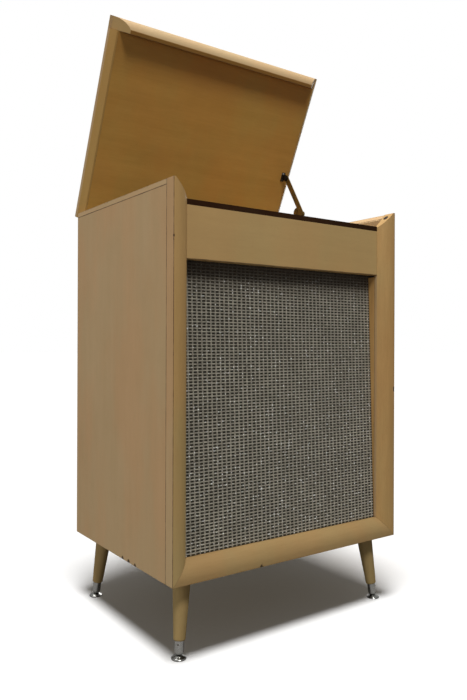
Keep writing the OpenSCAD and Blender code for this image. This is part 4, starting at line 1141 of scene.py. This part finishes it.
@dataclass
class CaseWork(SubAssembly):
    """The case and its loudspeaker and amplifier, with the screws of the motor board."""

    WEARS = {SIDE: "left_side_panel", SIDE_RIGHT: "right_side_panel", LIPPING: "side_lippings",
             STILE_LEFT: "left_stile", STILE_RIGHT: "right_stile", RAIL: "bottom_rail", FASCIA: "fascia_board",
             STRIP: "fascia_top_strip", JAMB: "grille_jambs", PLY: "baffle_board bottom_panel",
             HARDBOARD: "back_panel", STEEL: "back_screws", INNER: "hinge_rail case_cleats", DECK: "motor_board",
             DARK_STEEL: "speaker_basket speaker_magnet amp_transformer", PAPER: "speaker_cone",
             AMP_STEEL: "amp_chassis", GLASS: "amp_tubes", RUBBER: "power_inlet"}

    board_z_mm: float = 740.0
    screw_x_mm: float = 267.0
    screws_y_mm: tuple[float, ...] = (74.0, 250.0, 428.0)

    def build(self) -> None:
        """Makes the motor board's screws."""
        screws = [(spot(x, y, self.board_z_mm), UP) for x in (-self.screw_x_mm, self.screw_x_mm)
                  for y in self.screws_y_mm]
        Fasteners("motor_board_screws", "case", screws, 4.2, 1.4, 0.9, STEEL).build()


@dataclass(frozen=True)
class Strand:
    """One way of the weave: its yarns run in bands of two, `gap_mm` apart, and lie `sink_mm` behind the plane."""

    name: str
    finish: Yarn
    pitch_mm: float
    gap_mm: float
    radius_mm: float
    lift_mm: float
    sink_mm: float
    phase: float


@dataclass
class GrilleCloth(SubAssembly):
    """The loudspeaker cloth: a dark ground with yarns woven over it in open bands.

    It is drawn upright in X and Z, and then leant back from the foot of its plane.
    """

    WEARS = {CLOTH: "grille_cloth"}

    half_mm: float = 255.6
    low_mm: float = 189.4
    high_mm: float = 766.0
    foot_mm: Pair = (26.8, 189.0)
    lean: float = math.radians(1.94)
    flat_mm: Pair = (552.0, 594.0)
    flat_low_mm: float = 181.0
    margin_mm: float = 0.2
    sheet_y_mm: Pair = (0.9, 1.5)
    ripple_mm: float = 0.12
    cells: tuple[int, int] = (46, 50)
    wander_mm: float = 0.9
    warp: Strand = Strand("cloth_warp", WARP, 10.65, 1.6, 0.76, 0.35, 0.35, 0.0)
    weft: Strand = Strand("cloth_weft", WEFT, 6.25, 1.1, 0.66, 0.4, 0.25, math.pi)

    def placed(self, mesh: bpy.types.Mesh, sink_mm: float = 0.0) -> bpy.types.Mesh:
        """Leans an upright mesh onto the grille's plane.

        Args:
            mesh: The mesh.
            sink_mm: How far behind the plane it lies.

        Returns:
            The mesh.
        """
        foot = Matrix.Translation(spot(0.0, *self.foot_mm))
        sunk = Matrix.Translation((0.0, sink_mm * MM, 0.0))
        mesh.transform(foot @ Matrix.Rotation(-self.lean, 4, "X") @ sunk)
        return mesh

    def ground(self) -> bpy.types.Object:
        """Makes the sheet behind the yarns, closed and slightly rippled.

        Returns:
            The piece.
        """
        columns, rows = self.cells
        wide, tall = (size - 2 * self.margin_mm for size in self.flat_mm)
        low = self.flat_low_mm - self.foot_mm[1] + self.margin_mm
        points, faces = [], []
        for depth in self.sheet_y_mm:
            for row in range(rows + 1):
                for column in range(columns + 1):
                    x = (column / columns - 0.5) * wide
                    z = low + row / rows * tall
                    ripple = self.ripple_mm * math.sin(0.05 * x + 0.031 * z) * math.sin(0.023 * z)
                    points.append(Vector((x, depth + ripple, z)) * MM)

        def at(side: int, row: int, column: int) -> int:
            """The number of a point."""
            return (side * (rows + 1) + row) * (columns + 1) + column

        for row in range(rows):
            for column in range(columns):
                for side in (0, 1):
                    faces.append((at(side, row, column), at(side, row, column + 1),
                                  at(side, row + 1, column + 1), at(side, row + 1, column)))
            for column in (0, columns):
                faces.append((at(0, row, column), at(0, row + 1, column), at(1, row + 1, column), at(1, row, column)))
        for column in range(columns):
            for row in (0, rows):
                faces.append((at(0, row, column), at(0, row, column + 1), at(1, row, column + 1), at(1, row, column)))
        mesh = self.placed(mesh_of("cloth_ground", points, faces))
        return piece("cloth_ground", mesh, "case", CLOTH)

    def yarn(self, yarn: Strand, other: Strand, wide: float, tall: float) -> bpy.types.Mesh:
        """Weaves one way of the cloth, upright about Y = 0.

        Args:
            yarn: This way's yarn.
            other: The yarn that it crosses.
            wide: The width that its bands fill, in millimetres.
            tall: The length of its yarns, in millimetres.

        Returns:
            The mesh.
        """
        return grown(
            yarn.name, bpy.data.meshes.new("yarn_start"), GROWTH.weave, Bands=int(wide / yarn.pitch_mm),
            Pitch=yarn.pitch_mm * MM, Pair=yarn.gap_mm * MM, Length=tall * MM, Crossing=other.pitch_mm * MM,
            Steps=int(tall / other.pitch_mm) * 2, Lift=yarn.lift_mm * MM, Radius=yarn.radius_mm * MM, Sides=5,
            Wander=self.wander_mm * MM, Phase=yarn.phase, Material=yarn.finish.material())

    def yarns(self) -> list[bpy.types.Object]:
        """Makes the upright and the level yarns.

        Returns:
            The two pieces.
        """
        tall = self.high_mm - self.low_mm
        wide = 2 * self.half_mm
        low = self.low_mm - self.foot_mm[1]
        upright = self.yarn(self.warp, self.weft, wide, tall)
        upright.transform(Matrix.Translation((0.0, 0.0, low * MM)))
        level = self.yarn(self.weft, self.warp, tall, wide)
        level.transform(Matrix.Rotation(math.pi / 2, 4, "Y"))
        level.transform(Matrix.Translation((-wide / 2 * MM, 0.0, (low + tall / 2) * MM)))
        return [piece(yarn.name, self.placed(mesh, yarn.sink_mm), "case", yarn.finish)
                for yarn, mesh in ((self.warp, upright), (self.weft, level))]

    def build(self) -> None:
        ground = self.ground()
        yarns = self.yarns()
        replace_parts(ground, "grille_cloth")


@dataclass
class RecordDeck(SubAssembly):
    """The record changer and the control plate, with the platter's mat, the dial marks and the screws."""

    WEARS = {GOLD_PLATE: "control_plate", CREAM: "volume_knob tone_knob tonearm speed_lever",
             HAMMERED: "changer_base tonearm_turret record_arm", PLATTER_PAINT: "platter",
             RUBBER: "platter_mat idler_wheel", CHROME: "spindle", DARK_PLASTIC: "cartridge",
             DARK_STEEL: "changer_motor", BRASS: "motor_pulley"}

    platter_mm: Pair = (-98.0, 240.0)
    hole_r_mm: float = 5.2
    label_mm: Pair = (22.0, 38.0)
    ribs_from_mm: float = 40.0
    ribs: int = 9
    rib_shares: Point = (0.62, 0.7, 0.98)
    rib_mm: float = 1.1
    brim_mm: Pair = (0.5, 1.2)
    well_mm: Pair = (20.0, 1.3)
    base_z_mm: float = 751.0
    base_screws_mm: tuple[Pair, ...] = ((-247.0, 108.0), (-247.0, 393.0), (78.0, 393.0))
    plate_z_mm: float = 742.5
    plate_mm: Pair = (192.0, 250.0)
    plate_screw_mm: Pair = (40.0, 98.0)
    knobs_mm: tuple[Pair, ...] = ((192.0, 200.0), (192.0, 300.0))
    ticks: int = 11
    first_tick_deg: float = 240.0
    tick_gap_deg: float = 30.0
    tick_mm: Pair = (18.6, 21.2)
    tick_half_mm: float = 0.35
    number_r_mm: float = 26.5
    number_mm: float = 5.2
    paint_mm: float = 0.12

    def mat(self) -> None:
        """Makes the rubber mat, ribbed in rings, which replaces its plain solid."""
        low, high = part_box("platter_mat")
        z0, z1 = low.z / MM, high.z / MM
        outer = (high.x - low.x) / 2 / MM
        first = outer - self.brim_mm[0]
        step = (first - self.ribs_from_mm) / self.ribs
        flat, down, along = (share * step for share in self.rib_shares)
        floor = z1 - self.rib_mm
        profile = [(self.hole_r_mm, z0), (outer, z0), (outer, z1 - self.brim_mm[1])]
        for r in (first - k * step for k in range(self.ribs)):
            profile += [(r, z1), (r - flat, z1), (r - down, floor), (r - along, floor)]
        well = z1 - self.well_mm[1]
        profile += [(self.label_mm[1], z1), (self.label_mm[0], z1 - 0.2)]
        profile += [(self.well_mm[0], well), (self.hole_r_mm, well)]
        mesh = turned("mat_ribbed", profile, spot(*self.platter_mm, 0.0))
        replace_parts(piece("mat_ribbed", mesh, "turntable", RUBBER), "platter_mat")

    def tick(self, centre: Pair, degrees: float) -> tuple[list[Vector], list[tuple[int, ...]]]:
        """Draws one tick beside a knob.

        Args:
            centre: The knob's axis.
            degrees: Where the tick is, from X towards Y.

        Returns:
            Its points and its faces.
        """
        out = ring_way(degrees)
        side = Vector((-out.y, out.x, 0.0))
        (near, far), half = self.tick_mm, self.tick_half_mm
        corners = ((near, -half), (far, -half), (far, half), (near, half))
        points = [spot(*centre, self.plate_z_mm) + (out * a + side * b + UP * height) * MM
                  for height in (0.0, self.paint_mm) for a, b in corners]
        return points, [(3, 2, 1, 0), (4, 5, 6, 7), (0, 1, 5, 4), (1, 2, 6, 5), (2, 3, 7, 6), (3, 0, 4, 7)]

    def number(self, value: int, centre: Pair, degrees: float) -> bpy.types.Mesh:
        """Draws one number beside a knob.

        Args:
            value: The number.
            centre: The knob's axis.
            degrees: Where the number is, from X towards Y.

        Returns:
            The mesh, in place.
        """
        word = bpy.data.curves.new("dial_number", "FONT")
        word.body = str(value)
        word.size, word.extrude = self.number_mm * MM, self.paint_mm / 2 * MM
        word.align_x, word.align_y = "CENTER", "CENTER"
        mesh = as_mesh(linked("dial_number", word))
        place = spot(*centre, self.plate_z_mm + self.paint_mm / 2)
        mesh.transform(Matrix.Translation(place + ring_way(degrees) * self.number_r_mm * MM))
        return mesh

    def marks(self) -> None:
        """Makes the ticks and every second number round both knobs."""
        build = bmesh.new()
        for centre in self.knobs_mm:
            for k in range(self.ticks):
                degrees = self.first_tick_deg - k * self.tick_gap_deg
                points, faces = self.tick(centre, degrees)
                corners = [build.verts.new(point) for point in points]
                for face in faces:
                    build.faces.new([corners[n] for n in face])
                if k % 2 == 0:
                    build.from_mesh(self.number(k, centre, degrees))
        mesh = bpy.data.meshes.new("dial_marks")
        build.to_mesh(mesh)
        build.free()
        piece("dial_marks", mesh, "case", DIAL_PAINT)

    def build(self) -> None:
        """Makes the mat, the marks and the screws."""
        self.mat()
        self.marks()
        base = [(spot(*place, self.base_z_mm), UP) for place in self.base_screws_mm]
        (x, y), (dx, dy) = self.plate_mm, self.plate_screw_mm
        plate = [(spot(x + sx * dx, y + sy * dy, self.plate_z_mm), UP) for sx in (-1, 1) for sy in (-1, 1)]
        Fasteners("changer_screws", "case", base, 4.6, 2.0, 1.0, CHROME, "chrome").build()
        Fasteners("control_screws", "case", plate, 2.6, 1.0, 0.6, BRASS, "brass").build()


@dataclass
class Stay(SubAssembly):
    """The folding lid stay, with the two screws of its bracket, which don't match."""

    WEARS = {BRONZE: "stay_lid_bracket", STAY_BRASS: "stay_upper_arm stay_lower_arm stay_wall_plate"}

    bracket_mm: Point = (260.6, 263.0, 876.2)
    screw_out_mm: float = 8.4
    screw_mm: Point = (2.7, 1.3, 0.7)

    def build(self) -> None:
        """Makes the screws."""
        x, y, z = self.bracket_mm
        for name, way, finish in (("bracket_screw_low", 1, BRONZE), ("bracket_screw_high", -1, STEEL)):
            place = (on_lid(x, y + way * self.screw_out_mm, z), lid_way(-UP))
            Fasteners(name, "lid", [place], *self.screw_mm, finish).build()


@dataclass(frozen=True)
class Lamp:
    """A soft lamp, turned to a point. It lights the console alone."""

    name: str
    place: Point
    aim: Point
    size: Pair
    power: float


@dataclass(frozen=True)
class Overhead:
    """A wide light from above, with its width and its turn about X and Y in degrees."""

    name: str
    strength: float
    spread: float
    turn: Pair
    lights: Lights
    colour: Colour = (1.0, 1.0, 1.0)
    shadow: bool = True


@dataclass
class Studio:
    """Camera, floor, lamps and background."""

    eye: Point = (-0.9004, -1.2683, 0.5929)
    look: Point = (0.5803, 0.8144, 0.0)
    roll: float = math.radians(0.207)
    lens_mm: float = 34.18
    shift: Pair = (-0.0005, -0.0121)
    floor_m: float = 30.0
    ambient: float = 0.08
    mirrored: float = 0.35
    overheads: tuple[Overhead, ...] = (
        Overhead("floor_light", 3.2, 16.0, (9.6, -7.4), Lights.FLOOR),
        Overhead("floor_fill", 0.155, 1.0, (0.0, 0.0), Lights.FLOOR, colour=(1.0, 0.88, 0.66), shadow=False),
        Overhead("overhead", 3.0, 36.0, (-6.0, -3.0), Lights.CONSOLE))
    lamps: tuple[Lamp, ...] = (
        Lamp("front_key", (-1.0, -3.4, 4.8), (0.0, 0.0, 0.7), (1.1, 1.1), 140.0),
        Lamp("low_fill", (-2.0, -3.4, 0.35), (0.0, 0.0, 0.3), (2.0, 0.5), 6.5),
        Lamp("left_fill", (-4.2, -0.6, 1.6), (0.0, 0.0, 0.6), (2.6, 2.6), 40.0),
        Lamp("rear_fill", (3.2, 2.6, 1.9), (0.0, 0.0, 0.55), (2.4, 2.4), 70.0))

    def camera(self) -> None:
        """Sets the camera at the photograph's place."""
        data = bpy.data.cameras.new("camera")
        data.lens, data.sensor_width = self.lens_mm, 36.0
        data.shift_x, data.shift_y = self.shift
        made = linked("camera", data)
        made.location = self.eye
        made.rotation_mode = "QUATERNION"
        aim = Vector(self.look).to_track_quat("-Z", "Y")
        made.rotation_quaternion = aim @ Quaternion(UP, self.roll)
        bpy.context.scene.camera = made

    def floor(self) -> None:
        """Lays the floor."""
        corners = [(x * self.floor_m, y * self.floor_m, 0.0) for x, y in ((-1, -1), (1, -1), (1, 1), (-1, 1))]
        made = linked("studio_floor", mesh_of("studio_floor", corners, [(0, 1, 2, 3)], smooth=False))
        made.data.materials.append(Ground().material())

    def light(self, name: str, kind: str, energy: float, lights: Lights, **settings: object) -> bpy.types.Object:
        """Adds a light.

        Args:
            name: Its name.
            kind: AREA or SUN.
            energy: Its strength.
            lights: What it falls on.
            settings: Its other properties.

        Returns:
            The light's object.
        """
        data = bpy.data.lights.new(name, kind)
        data.energy = energy
        for key, value in settings.items():
            setattr(data, key, value)
        made = linked(name, data)
        group = "floor_" + lights.value.lower()
        falls_on = bpy.data.collections.get(group)
        if falls_on is None:
            falls_on = bpy.data.collections.new(group)
            falls_on.objects.link(bpy.data.objects["studio_floor"])
            falls_on.collection_objects[0].light_linking.link_state = lights.value
        made.light_linking.receiver_collection = falls_on
        return made

    def hang(self) -> None:
        """Hangs every light."""
        for sky in self.overheads:
            made = self.light(sky.name, "SUN", sky.strength, sky.lights, angle=math.radians(sky.spread),
                              color=sky.colour, use_shadow=sky.shadow)
            made.rotation_euler = (math.radians(sky.turn[0]), math.radians(sky.turn[1]), 0.0)
        for lamp in self.lamps:
            made = self.light(lamp.name, "AREA", lamp.power, Lights.CONSOLE, shape="RECTANGLE", size=lamp.size[0],
                              size_y=lamp.size[1])
            made.location = lamp.place
            made.rotation_mode = "QUATERNION"
            made.rotation_quaternion = (Vector(lamp.aim) - Vector(lamp.place)).to_track_quat("-Z", "Y")

    def world(self) -> None:
        """Makes the background white to the camera, grey in reflections and a dimmer grey as light."""
        made = bpy.data.worlds.new("studio")
        made.use_nodes = True
        made.node_tree.nodes.clear()
        g = Graph(made.node_tree)
        path = g.add("ShaderNodeLightPath")
        clear = g.math("MAXIMUM", path["Is Camera Ray"], path["Is Transmission Ray"])
        seen = g.math("MAXIMUM", clear, path["Is Glossy Ray"] * self.mirrored)
        level = seen * (1.0 - self.ambient) + self.ambient
        back = g.add("ShaderNodeBackground", {"Color": WHITE, "Strength": level})
        g.add("ShaderNodeOutputWorld", {0: back[0]})
        bpy.context.scene.world = made

    def build(self) -> None:
        """Sets up the whole studio."""
        bpy.context.scene.view_settings.view_transform = "Standard"
        self.camera()
        self.floor()
        self.world()
        self.hang()


def main() -> None:
    """Builds the scene piece by piece."""
    logging.basicConfig(level=logging.INFO, format="%(message)s")
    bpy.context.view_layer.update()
    Studio().build()
    for part in (Legs(), Lid(), CaseWork(), GrilleCloth(), RecordDeck(), Stay()):
        part.dress()
        part.build()


if __name__ == "__main__":
    main()
